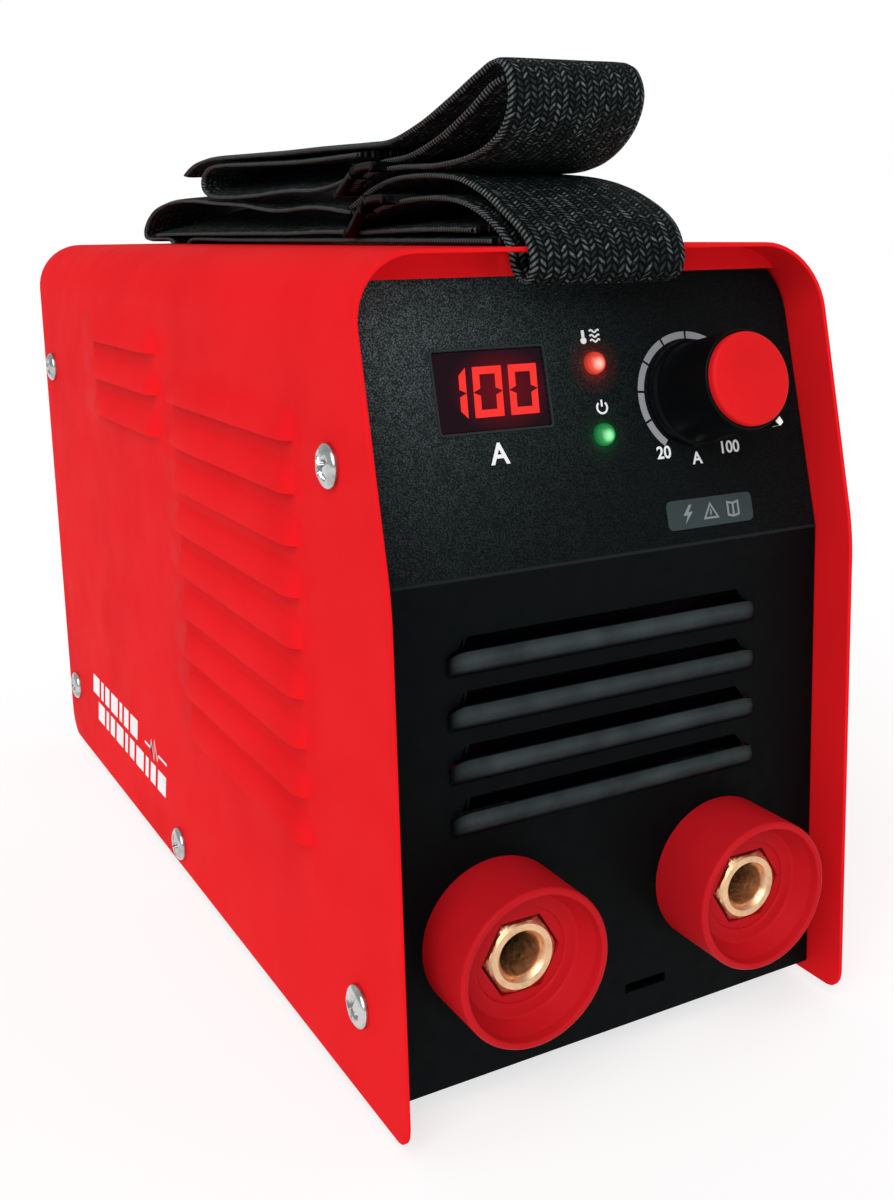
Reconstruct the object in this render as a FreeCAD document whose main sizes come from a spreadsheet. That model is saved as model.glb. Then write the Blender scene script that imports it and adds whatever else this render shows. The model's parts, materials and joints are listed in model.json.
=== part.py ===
"""Stick welding inverter: a sheet-metal case with tilted control panel, two output sockets,
a rear fan, a mains switch and a cable gland, and a webbing carrying strap on top.

Case frame used while modelling: x across (right is plus, seen from the front), y from the
cover's lower front edge to the rear, z up from the cover's bottom edge. publish() then moves
every sub-part so that the origin is under the middle of the machine, at the level of its feet.
"""

import FreeCAD, Part
import Sketcher
import math
import os
import re

V = FreeCAD.Vector
doc = FreeCAD.newDocument("stick_welding_inverter")

# ---------------------------------------------------------------- driving dimensions (mm, deg)
DIMENSIONS = [
    ("front_y", -150, "cover's lower front edge, from the origin"),
    ("foot_drop", 3, "feet below the cover's bottom edge"),
    ("cover_width", 116, "outside width of the cover"),
    ("cover_height", 180, "height of the cover"),
    ("cover_depth", 296.5, "depth of the cover along its bottom edge"),
    ("sheet", 1, "steel sheet thickness"),
    ("bend_radius", 15, "outside radius of the cover's top bends"),
    ("knee_height", 114.2, "height where the front starts to lean back"),
    ("edge_lean", 12.2, "lean of the cover's upper front edge"),
    ("panel_lean", 13.8, "lean of the control panel's upper face"),
    ("panel_recess", 11.6, "lower panel face behind the cover's front edge"),
    ("panel_floor", 3.3, "underside of both panels"),
    ("panel_top", 177.7, "upper end of both panels"),
    ("panel_wall", 2, "wall of the moulded panels"),
    ("panel_flange", 18, "depth of the panels' rims"),
    ("panel_gap", 0.3, "gap between a panel's rim and the cover"),
    ("panel_shift", -1.2, "sockets and vents stand this far off the middle"),
    ("rear_face", 292.5, "outer face of the rear panel"),
    ("louver_lowest", 48.3, "lip of the lowest side louver"),
    ("louver_pitch", 11.45, "side louver spacing"),
    ("louver_height", 7.5, "side louver height"),
    ("louver_reach", 2.5, "side louver bulge"),
    ("louver_taper", 5, "length of a side louver's sloping ends"),
    ("louver_lip", 1.4, "straight lip of a side louver"),
    ("scoop_pitch", 11.55, "front vent spacing"),
    ("scoop_first", 59.2, "bottom of the lowest front vent"),
    ("scoop_rise", 5.6, "height of a front vent's lip"),
    ("scoop_reach", 2.5, "front vent's bulge"),
    ("scoop_slot", 8.2, "top of a front vent's opening above its bottom"),
    ("scoop_span", 79, "length of a front vent"),
    ("socket_spread", 59, "distance between the output sockets"),
    ("socket_height", 35.4, "socket centres"),
    ("collar_radius", 17.3, "outside radius of a socket collar"),
    ("collar_reach", 18, "collar in front of the panel"),
    ("cup_radius", 12.8, "floor of the collar's cup"),
    ("cup_floor", 11, "cup floor in front of the panel"),
    ("hex_flats", 15, "brass insert across flats"),
    ("plug_bore", 4.6, "radius of the socket's plug bore"),
    ("stud_radius", 5.9, "radius of the socket insert's stud"),
    ("knob_radius", 10.9, "knob body's radius at the front"),
    ("knob_skirt", 12, "knob's skirt radius"),
    ("knob_reach", 20.9, "front of the knob's body above the panel"),
    ("cap_depth", 1.5, "depth of the seat that the red cap is let into"),
    ("cap_rise", 2.2, "middle of the red cap in front of the knob's body"),
    ("dial_x", 26.2, "knob axis across the panel"),
    ("dial_rise", 33.4, "knob axis up the leaning face"),
    ("shaft_radius", 3, "potentiometer shaft's radius"),
    ("running_gap", 0.05, "radial clearance of turning shafts"),
    ("window_x", -23.7, "display window centre"),
    ("window_rise", 37.8, "display window centre up the leaning face"),
    ("window_width", 26, "display window"),
    ("window_height", 16.8, "display window"),
    ("lamp_x", 1.7, "indicator lamps"),
    ("lamp_radius", 2.5, "indicator lamps' radius"),
    ("board_depth", 9, "control board behind the panel's face"),
    ("fan_size", 92, "side of the fan frame"),
    ("fan_depth", 25, "depth of the fan frame"),
    ("fan_height", 62, "fan axis"),
    ("fan_pitch", 41.25, "fan screws from the fan axis"),
    ("rear_row", 142, "height of the mains switch and the cable gland"),
    ("rear_spread", 28, "switch and gland from the middle"),
    ("gland_end", 306.4, "outer end of the cable gland"),
    ("cable_radius", 4.5, "mains cable that the gland's seal takes"),
    ("screw_radius", 2, "case screws' shank"),
    ("head_radius", 4.8, "case screws' head"),
    ("head_height", 2.3, "case screws' head"),
    ("strap_width", 38, "webbing width"),
    ("strap_thickness", 1.8, "webbing thickness"),
    ("strap_slot", 42, "length of the strap slots in the cover"),
    ("slot_width", 5, "width of the strap slots"),
    ("foot_x", 42, "feet from the middle"),
    ("base_screw_x", 40, "panel screws under the base plate, from the middle"),
    ("base_hole", 1.5, "radius of the panel and board screws"),
    ("post_x", 44, "board posts from the middle"),
    ("board_level", 14, "underside of the power board"),
    ("board_thickness", 1.6, "circuit boards"),
]

sheet = doc.addObject("Spreadsheet::Sheet", "dims")
for row, (alias, number, meaning) in enumerate(DIMENSIONS, start=1):
    sheet.set(f"A{row}", meaning)
    sheet.set(f"B{row}", str(number))
    sheet.setAlias(f"B{row}", alias)
doc.recompute()

ALIASES = re.compile(r"\b(" + "|".join(name for name, _, _ in DIMENSIONS) + r")\b")
ORIGIN = ("0", "0", "0")
FORWARD = FreeCAD.Rotation(V(1, 0, 0), 90)
BACKWARD = FreeCAD.Rotation(V(1, 0, 0), -90)
SIDEWAYS = FreeCAD.Rotation(V(0, 1, 0), 90)
where = {}
sub_parts = []


def size(alias):
    """A driving dimension as a number."""
    return float(sheet.get(alias))


FACING_PANEL = FreeCAD.Rotation(V(1, 0, 0), 90 - size("panel_lean"))


def bound(text):
    """An expression in the sheet's aliases, as FreeCAD spells it."""
    return ALIASES.sub(r"dims.\1", str(text))


def put(obj, at, turn=None):
    """Turns obj, and binds its position in the case frame."""
    if turn:
        obj.Placement = FreeCAD.Placement(V(), turn)
    for axis, text in zip("xyz", at):
        obj.setExpression(f"Placement.Base.{axis}", bound(text))
    where[obj.Name] = at
    return obj


def primitive(kind, name, sizes, at=ORIGIN, turn=None):
    obj = doc.addObject(f"Part::{kind}", name)
    for prop, text in sizes.items():
        obj.setExpression(prop, bound(text))
    return put(obj, at, turn)


def block(name, spans, at=ORIGIN, turn=None):
    """A box from at, of the three spans along x, y and z."""
    return primitive("Box", name, dict(zip(("Length", "Width", "Height"), spans)), at, turn)


def middle_block(name, spans, at):
    """A box centred on at."""
    corner = [f"{place} - ({span}) / 2" for place, span in zip(at, spans)]
    return block(name, spans, corner)


def rod(name, radius, length, at=ORIGIN, turn=None):
    return primitive("Cylinder", name, {"Radius": radius, "Height": length}, at, turn)


def fuse(name, parts):
    obj = doc.addObject("Part::MultiFuse", name)
    obj.Shapes = parts
    return obj


def common(name, parts):
    obj = doc.addObject("Part::MultiCommon", name)
    obj.Shapes = parts
    return obj


def cut(name, base, tools):
    obj = doc.addObject("Part::Cut", name)
    obj.Base = base
    obj.Tool = tools[0] if len(tools) == 1 else fuse(f"{name}_tools", tools)
    return obj


def group(name, parts):
    """Identical loose pieces that share one node."""
    obj = doc.addObject("Part::Compound", name)
    obj.Links = parts
    return obj


def publish(obj, label):
    """Names a finished sub-part, and moves it from the case frame to the part's own frame."""
    at = where.get(obj.Name, ORIGIN)
    offsets = ("0", "front_y", "foot_drop")
    put(obj, [f"{place} + {offset}" for place, offset in zip(at, offsets)], obj.Placement.Rotation)
    obj.Label = label
    sub_parts.append(obj)
    return obj


def on_face(x, rise, out="0"):
    """A point x across the leaning panel face, rise up it from the knee, and out in front of it."""
    lean = "panel_lean * 1 deg"
    y = f"panel_recess + ({rise}) * sin({lean}) - ({out}) * cos({lean})"
    z = f"knee_height + ({rise}) * cos({lean}) + ({out}) * sin({lean})"
    return (x, y, z)


def face_block(name, width, height, depth, x, rise, out):
    """A box on the leaning face: width across, height up it, and depth standing out from out."""
    lean = "panel_lean * 1 deg"
    low = on_face(f"{x} - ({width}) / 2", f"({rise}) - ({height}) / 2", out)
    return block(name, (width, height, depth), low, FACING_PANEL)


def face_rod(name, radius, length, x, rise, out):
    return rod(name, radius, length, on_face(x, rise, out), FACING_PANEL)


# ---------------------------------------------------------------- sketch-based sub-parts
def origin_plane(body, role):
    return next(f for f in body.Origin.OriginFeatures if f.Role == role)


def outline(body, name, plane, points):
    """A closed sketch of straight sides whose corners are bound to the sheet."""
    sketch = body.newObject("Sketcher::SketchObject", name)
    sketch.AttachmentSupport = [(origin_plane(body, plane), "")]
    sketch.MapMode = "FlatFace"
    count = len(points)
    ring = [V(math.cos(2 * math.pi * i / count), math.sin(2 * math.pi * i / count), 0) for i in range(count)]
    for i in range(count):
        sketch.addGeometry(Part.LineSegment(ring[i], ring[(i + 1) % count]), False)
    for i in range(count):
        sketch.addConstraint(Sketcher.Constraint("Coincident", i, 2, (i + 1) % count, 1))
    for i, corner in enumerate(points):
        for kind, axis, text in (("DistanceX", -2, corner[0]), ("DistanceY", -1, corner[1])):
            if text == "0":
                sketch.addConstraint(Sketcher.Constraint("PointOnObject", i, 1, axis))
                continue
            index = sketch.addConstraint(Sketcher.Constraint(kind, -1, 1, i, 1, 1.0))
            sketch.setExpression(f"Constraints[{index}]", bound(text))
    return sketch


def prism(name, plane, points, length, centred=False):
    """A body padded from an outline. The pad runs along +Z, +Y or +X from the plane."""
    body = doc.addObject("PartDesign::Body", name)
    sketch = outline(body, f"{name}_outline", plane, points)
    pad = body.newObject("PartDesign::Pad", f"{name}_pad")
    pad.Profile = sketch
    pad.setExpression("Length", bound(length))
    pad.Reversed = plane == "XZ_Plane"
    pad.Midplane = centred
    return body


def turned(name, points, at=ORIGIN, turn=None):
    """A body revolved about its own Z from an outline of (radius, height) corners."""
    body = doc.addObject("PartDesign::Body", name)
    sketch = outline(body, f"{name}_outline", "XZ_Plane", points)
    spin = body.newObject("PartDesign::Revolution", f"{name}_spin")
    spin.Profile = sketch
    spin.ReferenceAxis = (sketch, ["V_Axis"])
    spin.Angle = 360
    return put(body, at, turn)


def round_edges(body, name, radius, chosen):
    """Fillets the edges of a body whose middle point passes the test."""
    doc.recompute()
    base = body.Tip
    edges = [f"Edge{i + 1}" for i, e in enumerate(base.Shape.Edges)
             if chosen(e, e.valueAt((e.FirstParameter + e.LastParameter) / 2))]
    fillet = body.newObject("PartDesign::Fillet", name)
    fillet.Base = (base, edges)
    fillet.setExpression("Radius", bound(radius))
    return fillet


def along(edge, axis):
    """Whether a straight edge runs along a direction."""
    if len(edge.Vertexes) != 2:
        return False
    run = edge.Vertexes[1].Point - edge.Vertexes[0].Point
    return run.Length > 0.01 and abs(run.dot(axis)) > 0.999 * run.Length


def arch(name, half_width, top, radius, y_from, length):
    """A solid arch across the case: flat-sided, with rounded top corners, running along y."""
    corners = [(f"-({half_width})", "0"), (half_width, "0"), (half_width, top), (f"-({half_width})", top)]
    body = prism(name, "XZ_Plane", corners, length)
    round_edges(body, f"{name}_bend", radius,
                lambda e, mid: along(e, V(0, 1, 0)) and mid.z > size("knee_height"))
    return put(body, ("0", y_from, "0"))


def hexagon(name, flats, height, at, turn=None):
    """A hexagonal prism with a corner along its own Y."""
    prism_object = primitive("Prism", name, {"Circumradius": f"({flats}) / sqrt(3)", "Height": height})
    prism_object.Polygon = 6
    spun = FreeCAD.Rotation(V(0, 0, 1), 90)
    return put(prism_object, at, turn.multiply(spun) if turn else spun)


# ---------------------------------------------------------------- cover
SIDES = (("left", -1), ("right", 1))
SCREW_PLACES = {"front_high": (26, 137.5), "front_low": (22, 22), "middle": (156, 7.5),
                "rear_high": (283, 138), "rear_low": (283, 21)}
STRAP_SLOTS = (18.3, 246, 259)
LOUVER_BANKS = {"front": (46, 91, range(0, 9)), "rear": (150, 72, range(7, 10))}


FEET_Y = (44, 252)
BASE_SCREWS_Y = (22, 281)
POSTS_Y = (66, 148, 230)


def corners(depths, x):
    """Names of left and right places at several depths, with their x and y."""
    return [(f"{side_name}_{index}", f"{side} * {x}", f"{y}")
            for index, y in enumerate(depths) for side_name, side in SIDES]


def side_place(side, inward, y, z):
    """A point on a side wall, inward from its outer face."""
    return (f"{side} * (cover_width / 2 - ({inward}))", y, z)


def louver(name, side, y, length, z):
    """One pressed side louver that opens downwards: its solid hood, and the void inside it."""
    shapes = []
    for part, skin, reach in (("hood", "0", "louver_reach"), ("void", "sheet", "louver_reach - sheet")):
        inset = f"({skin}) * 1.5"
        sizes = {"Xmin": inset, "Xmax": f"{length} - {inset}",
                 "Ymin": "-sheet", "Ymax": reach,
                 "Zmin": f"-({skin})", "Zmax": f"louver_height - ({skin})",
                 "X2min": f"{inset} + louver_taper", "X2max": f"{length} - {inset} - louver_taper",
                 "Z2min": f"-({skin})", "Z2max": f"louver_lip - ({skin}) / 2"}
        turn = FreeCAD.Rotation(V(0, 0, 1), 90 if side < 0 else -90)
        start = y if side < 0 else y + length
        place = side_place(side, "0", f"{start}", z)
        shapes.append(primitive("Wedge", f"{name}_{part}", sizes, place, turn))
    return shapes


def make_cover():
    """The inverted-U steel cover with its leaning front edge, louvers and strap slots."""
    outer = arch("cover_outside", "cover_width / 2", "cover_height", "bend_radius", "0", "cover_depth")
    inner = arch("cover_inside", "cover_width / 2 - sheet", "cover_height - sheet",
                 "bend_radius - sheet", "-1", "cover_depth + 2")
    lean = "(cover_height - knee_height) * tan(edge_lean * 1 deg)"
    side_view = prism("cover_side_view", "YZ_Plane",
                      [("0", "0"), ("0", "knee_height"), (lean, "cover_height"),
                       ("cover_depth", "cover_height"), ("cover_depth", "0")],
                      "cover_width + 8 * louver_reach", centred=True)
    across = V(1, 0, 0)
    round_edges(side_view, "cover_rear_foot", "9",
                lambda e, mid: along(e, across) and mid.z < 1 and mid.y > size("knee_height"))
    round_edges(side_view, "cover_front_foot", "5",
                lambda e, mid: along(e, across) and mid.z < 1 and mid.y < 1)
    round_edges(side_view, "cover_knee", "60",
                lambda e, mid: along(e, across) and abs(mid.z - size("knee_height")) < 1 and mid.y < 1)
    shell = cut("cover_shell", outer, [inner])
    # A hem stiffens the front bar that the strap hangs on, and an angle stands behind its slot.
    hem = block("front_hem", ("strap_slot", "7", "sheet"),
                ("-strap_slot / 2", f"{STRAP_SLOTS[0] - 7}", "cover_height - 2 * sheet"))
    bar = common("strap_angle", [
        arch("angle_outline", "cover_width / 2 - sheet / 2", "cover_height - sheet / 2",
             "bend_radius - sheet / 2", "24.6", "sheet"),
        block("angle_leg", ("cover_width", "4", "6"), ("-cover_width / 2", "24", "174.4"))])
    hoods, voids = [], []
    for side_name, side in SIDES:
        for bank, (y, length, rows) in LOUVER_BANKS.items():
            for index in rows:
                z = f"louver_lowest + {index} * louver_pitch"
                hood, void = louver(f"{side_name}_{bank}_louver_{index}", side, y, length, z)
                hoods.append(hood)
                voids.append(void)
    pressed = fuse("cover_pressed", [shell, hem, bar] + hoods)
    trimmed = common("cover_trimmed", [pressed, side_view])
    slots = [block(f"strap_slot_{index}", ("strap_slot", "slot_width", "10"),
                   ("-strap_slot / 2", f"{y}", "cover_height - 5"))
             for index, y in enumerate(STRAP_SLOTS)]
    holes = [rod(f"cover_hole_{side_name}_{place}", "screw_radius + 0.25", "6",
                 side_place(side, f"{3 * side}", f"{y}", f"{z}"), SIDEWAYS)
             for side_name, side in SIDES for place, (y, z) in SCREW_PLACES.items()]
    publish(cut("cover_finished", trimmed, voids + slots + holes), "cover")


# ---------------------------------------------------------------- front and rear panels
VENTS = range(4)
LAMPS = {"overload_lamp": "41.8", "power_lamp": "26.2"}


def panel_tray(name, face_profile, inner_profile, mid_y):
    """A moulded panel: a face with a rim all round, which fits inside the cover."""
    half = "cover_width / 2 - sheet - panel_gap"
    bend = "bend_radius - sheet - panel_gap"
    blank = common(f"{name}_blank", [
        prism(f"{name}_side_view", "YZ_Plane", face_profile, f"2 * ({half})", centred=True),
        arch(f"{name}_front_view", half, "panel_top", bend, f"{mid_y} - 60", "120")])
    hollow = common(f"{name}_hollow", [
        prism(f"{name}_hollow_side", "YZ_Plane", inner_profile, "cover_width", centred=True),
        arch(f"{name}_hollow_front", f"{half} - panel_wall", "panel_top - panel_wall",
             f"{bend} - panel_wall", f"{mid_y} - 60", "120")])
    return cut(f"{name}_tray", blank, [hollow])


def front_profile(back, floor, top):
    """Side view of the front panel's block, set back from the outer face."""
    fall = f"({top} - knee_height) * tan(panel_lean * 1 deg)"
    knee = f"knee_height - ({back}) * tan(panel_lean * 0.5 deg)"
    face = f"panel_recess + {back}"
    rear = f"{face} + panel_flange"
    return [(face, floor), (face, knee), (f"{face} + {fall}", top), (f"{rear} + {fall}", top),
            (rear, knee), (rear, floor)]


def scoop(index):
    """One front vent: a bar that bulges out to a lip, and the opening above and behind it."""
    low = f"scoop_first + {index} * scoop_pitch"
    left = "panel_shift - scoop_span / 2"
    wall = "panel_wall * 0.6"
    sizes = {"Xmin": "0", "Xmax": "scoop_span", "Ymin": "0", "Ymax": "scoop_reach",
             "Zmin": "0", "Zmax": "scoop_rise",
             "X2min": "0.8", "X2max": "scoop_span - 0.8",
             "Z2min": "scoop_rise - 0.9", "Z2max": "scoop_rise"}
    mirror = FreeCAD.Rotation(V(0, 0, 1), 180)
    right_end = (f"{left} + scoop_span", "panel_recess", low)
    bulge = primitive("Wedge", f"scoop_{index}_bar", sizes, right_end, mirror)
    pocket_sizes = {"Xmin": wall, "Xmax": f"scoop_span - {wall}", "Ymin": "-panel_wall - 1",
                    "Ymax": f"scoop_reach - {wall}", "Zmin": wall, "Zmax": "scoop_rise + 1",
                    "X2min": f"{wall} + 0.8", "X2max": f"scoop_span - {wall} - 0.8",
                    "Z2min": "scoop_rise", "Z2max": "scoop_rise + 1"}
    pocket = primitive("Wedge", f"scoop_{index}_pocket", pocket_sizes, right_end, mirror)
    slot_sizes = {"Xmin": "2", "Xmax": "scoop_span - 2", "Ymin": f"scoop_rise - 1", "Ymax": "scoop_slot",
                  "Zmin": "0", "Zmax": "panel_wall + 4",
                  "X2min": "5", "X2max": "scoop_span - 5", "Z2min": "0", "Z2max": "panel_wall + 4"}
    slot = primitive("Wedge", f"scoop_{index}_slot", slot_sizes,
                     (left, "panel_recess + panel_wall + 3", low), FORWARD)
    return bulge, pocket, slot


def socket_places():
    """The output sockets' names and how far across they stand."""
    return (("negative", "panel_shift - socket_spread / 2"), ("positive", "panel_shift + socket_spread / 2"))


def make_front_panel():
    """Black moulded panel: vertical below with scooped vents, leaning back above."""
    tray = panel_tray("front", front_profile("0", "panel_floor", "panel_top"),
                      front_profile("panel_wall", "panel_floor + panel_wall", "panel_top - panel_wall"), "40")
    bars, openings = [], []
    for index in VENTS:
        bulge, pocket, slot = scoop(index)
        bars.append(bulge)
        openings += [pocket, slot]
    outside = face_block("window_frame_outside", "window_width + 2.4", "window_height + 2.4", "1.2",
                         "window_x", "window_rise", "-0.9")
    inside = face_block("window_frame_inside", "window_width + 1.6", "window_height + 1.6", "3",
                        "window_x", "window_rise", "-1.5")
    frame_line = cut("window_frame", outside, [inside])
    openings.append(face_block("window_opening", "window_width", "window_height", "8",
                               "window_x", "window_rise", "-5"))
    for name, rise in LAMPS.items():
        openings.append(face_rod(f"{name}_hole", "lamp_radius + 0.1", "8", "lamp_x", rise, "-5"))
    openings.append(face_rod("pot_hole", "3.6", "8", "dial_x", "dial_rise", "-5"))
    for name, x in socket_places():
        openings.append(rod(f"{name}_panel_hole", "cup_radius + 0.3", "8",
                            (x, "panel_recess + 5", "socket_height"), FORWARD))
    openings.append(middle_block("tab_slot", ("11", "8", "2.2"), ("8", "panel_recess", "12.1")))
    openings += flange_holes("front")
    openings += [rod(f"front_base_hole_{name}", "base_hole", "6", (x, y, "1"))
                 for name, x, y in corners(BASE_SCREWS_Y[:1], "base_screw_x")]
    publish(cut("front_finished", fuse("front_faces", [tray, frame_line] + bars), openings), "front_panel")


def flange_holes(end):
    """Screw holes through the side rims of one panel."""
    return [rod(f"{end}_rim_hole_{side_name}_{place}", "screw_radius", "8",
                side_place(side, f"{4 + 4 * side}", f"{y}", f"{z}"), SIDEWAYS)
            for side_name, side in SIDES for place, (y, z) in SCREW_PLACES.items() if place.startswith(end)]


def make_rear_panel():
    """Black moulded rear panel with openings for the fan, the mains switch and the gland."""
    front = "rear_face - panel_flange"
    inside = "rear_face - panel_wall"
    floor, top = "panel_floor + panel_wall", "panel_top - panel_wall"
    profile = [(front, "panel_floor"), ("rear_face", "panel_floor"), ("rear_face", "panel_top"),
               (front, "panel_top")]
    inner = [(f"{front} - 1", floor), (inside, floor), (inside, top), (f"{front} - 1", top)]
    tray = panel_tray("rear", profile, inner, "280")
    openings = [rod("fan_opening", "fan_size / 2 - 2.5", "12", ("0", "rear_face + 4", "fan_height"), FORWARD),
                middle_block("switch_opening", ("22", "12", "28"), ("rear_spread", "rear_face", "rear_row")),
                rod("gland_opening", "8.2", "12", ("-rear_spread", "rear_face + 4", "rear_row"), FORWARD)]
    openings += [rod(f"fan_screw_hole_{name}", "screw_radius + 0.1", "12", place, FORWARD)
                 for name, place in fan_corners("rear_face + 4")]
    openings += flange_holes("rear")
    openings += [rod(f"rear_base_hole_{name}", "base_hole", "6", (x, y, "1"))
                 for name, x, y in corners(BASE_SCREWS_Y[1:], "base_screw_x")]
    publish(cut("rear_finished", tray, openings), "rear_panel")


def fan_corners(y):
    """The four fan screws' names and places."""
    return [(f"{high}_{side_name}", (f"{side} * fan_pitch", y, f"fan_height + {lift} * fan_pitch"))
            for high, lift in (("lower", -1), ("upper", 1)) for side_name, side in SIDES]


# ---------------------------------------------------------------- base plate, feet and case screws
def make_base_plate():
    """Steel floor of the case, with turned-up side flanges and a field of cooling slots."""
    half = "cover_width / 2 - sheet - panel_gap"
    floor = block("base_floor", (f"2 * ({half})", "278", "sheet"),
                  (f"-({half})", "13", "panel_floor - sheet"))
    flanges = [block(f"base_flange_{name}", ("sheet", "238", "13"),
                     (f"{side} * ({half} - sheet / 2) - sheet / 2", "32", "panel_floor - sheet"))
               for name, side in SIDES]
    tools = []
    for kind, radius, places in (("foot", "screw_radius", corners(FEET_Y, "foot_x")),
                                 ("base_screw", "base_hole", corners(BASE_SCREWS_Y, "base_screw_x")),
                                 ("board_post", "base_hole", corners(POSTS_Y, "post_x"))):
        tools += [rod(f"{kind}_hole_{name}", radius, "6", (x, y, "0")) for name, x, y in places]
    y, z = SCREW_PLACES["middle"]
    tools += [rod(f"middle_hole_{name}", "screw_radius", "8",
                  side_place(side, f"{4 + 4 * side}", f"{y}", f"{z}"), SIDEWAYS) for name, side in SIDES]
    tools += [middle_block(f"floor_slot_{name}_{index}", ("26", "3", "6"),
                           (f"{side} * 18", f"{80 + 14 * index}", "panel_floor"))
              for name, side in SIDES for index in range(10)]
    publish(cut("base_finished", fuse("base_steel", [floor] + flanges), tools), "base_plate")


def screw(name, head_radius, head_height, shank_radius, length, at, turn):
    """A domed screw with a cross recess. Its head stands on its own Z = 0 and its shank goes down."""
    body = turned(f"{name}_blank", [("0", f"-({length})"), (shank_radius, f"-({length})"),
                                    (shank_radius, "0"), (head_radius, "0"),
                                    (head_radius, f"({head_height}) * 0.35"),
                                    (f"({head_radius}) * 0.72", f"({head_height}) * 0.85"),
                                    (f"({head_radius}) * 0.3", head_height), ("0", head_height)])
    arm = (f"({head_radius}) * 1.05", f"({head_radius}) * 0.2", head_height)
    cross = [middle_block(f"{name}_cross_a", arm, ("0", "0", head_height)),
             middle_block(f"{name}_cross_b", (arm[1], arm[0], arm[2]), ("0", "0", head_height))]
    return put(cut(name, body, cross), at, turn)


def make_case_fasteners():
    heads = []
    for side_name, side in SIDES:
        for place, (y, z) in SCREW_PLACES.items():
            turn = FreeCAD.Rotation(V(0, 1, 0), 90 * side)
            heads.append(screw(f"cover_screw_{side_name}_{place}", "head_radius", "head_height",
                               "screw_radius", "7", side_place(side, "0", f"{y}", f"{z}"), turn))
    publish(group("case_screws", heads), "cover_screws")

    downward = FreeCAD.Rotation(V(1, 0, 0), 180)
    base = [screw(f"base_screw_{name}", "2.8", "1.6", "base_hole", "5",
                  (x, y, "panel_floor - sheet"), downward)
            for name, x, y in corners(BASE_SCREWS_Y, "base_screw_x")]
    publish(group("panel_base_screws", base), "base_screws")

    feet, foot_screws = [], []
    for name, x, y in corners(FEET_Y, "foot_x"):
        foot = turned(f"foot_{name}", [("screw_radius", "2.4 - foot_drop"), ("4.2", "2.4 - foot_drop"),
                                       ("4.2", "-foot_drop"), ("7", "-foot_drop"),
                                       ("8.5", "panel_floor - sheet"),
                                       ("screw_radius", "panel_floor - sheet")], (x, y, "0"))
        feet.append(foot)
        foot_screws.append(screw(f"foot_screw_{name}", "3.6", "1.8", "screw_radius", "6",
                                 (x, y, "2.4 - foot_drop"), downward))
    publish(group("feet", feet), "rubber_feet")
    publish(group("feet_fasteners", foot_screws), "feet_screws")


# ---------------------------------------------------------------- current knob and its potentiometer
def make_knob():
    """The knob, its red cap and the shaft, which turn together on the leaning face."""
    at = on_face("dial_x", "dial_rise")
    seat = "knob_reach - cap_depth"
    top = "knob_reach + cap_rise"
    body = turned("knob_blank", [("shaft_radius", "6"), ("9", "6"), ("9", "0.6"), ("knob_skirt", "0.6"),
                                 ("knob_skirt", "2.4"), ("knob_skirt - 0.8", "3.2"),
                                 ("knob_radius", "knob_reach - 0.5"), ("knob_radius - 0.4", "knob_reach"),
                                 ("knob_radius - 0.65", "knob_reach"), ("knob_radius - 0.65", seat),
                                 ("shaft_radius", seat)], at, FACING_PANEL)
    publish(body, "knob_body")
    cap = turned("knob_cap_blank", [("0", seat), ("knob_radius - 0.7", seat),
                                    ("knob_radius - 0.7", f"{top} - 0.9"),
                                    ("knob_radius - 1.1", f"{top} - 0.3"),
                                    ("knob_radius - 3", f"{top} - 0.1"), ("0", top)], at, FACING_PANEL)
    publish(cap, "knob_cap")
    publish(face_rod("pot_shaft", "shaft_radius", "21", "dial_x", "dial_rise", "-6.5"), "pot_shaft")


def make_potentiometer():
    at = on_face("dial_x", "dial_rise")
    bore = "shaft_radius + running_gap"
    can = turned("pot_can", [("0", "-8.8"), ("8", "-8.8"), ("8", "-panel_wall"), ("3.5", "-panel_wall"),
                             ("3.5", "5.4"), (bore, "5.4"), (bore, "-7"), ("0", "-7")], at, FACING_PANEL)
    publish(can, "potentiometer")
    nut = cut("pot_nut_blank", hexagon("pot_nut_hex", "10", "2", at, FACING_PANEL),
              [face_rod("pot_nut_bore", "3.5", "4", "dial_x", "dial_rise", "-1")])
    publish(nut, "pot_nut")


# ---------------------------------------------------------------- display, lamps and label
def make_display():
    """The smoked window with a flange behind the panel, and the three-digit module behind it."""
    lens = face_block("window_lens", "window_width", "window_height", "1.6", "window_x", "window_rise", "-2")
    flange = face_block("window_flange", "window_width + 4", "window_height + 4", "1",
                        "window_x", "window_rise", "-3")
    publish(fuse("window_blank", [lens, flange]), "display_window")
    module = face_block("module_case", "22.6", "14", "board_depth - 3.2",
                        "window_x", "window_rise", "-board_depth")
    publish(module, "display_module")


def make_lamps():
    """Two round indicator lamps on spacers that stand on the control board."""
    spacers = []
    for name, rise in LAMPS.items():
        stem = turned(f"{name}_stem", [("0", "-4"), ("lamp_radius + 0.4", "-4"), ("lamp_radius + 0.4", "-3"),
                                       ("lamp_radius", "-3"), ("lamp_radius", "0.2"),
                                       ("lamp_radius * 0.92", "1.2"), ("lamp_radius * 0.7", "1.9"),
                                       ("lamp_radius * 0.38", "2.3"), ("0", "2.45")],
                      on_face("lamp_x", rise), FACING_PANEL)
        publish(stem, name)
        spacers.append(face_rod(f"{name}_spacer", "lamp_radius + 0.4", "board_depth - 4", "lamp_x", rise,
                                "-board_depth"))
    publish(group("spacers", spacers), "lamp_spacers")


def make_label_plate():
    """A thin rounded label stuck on the panel under the knob."""
    publish(face_block("label_blank", "23.6", "6.6", "0.3", "27", "6.7", "0"), "label_plate")


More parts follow.
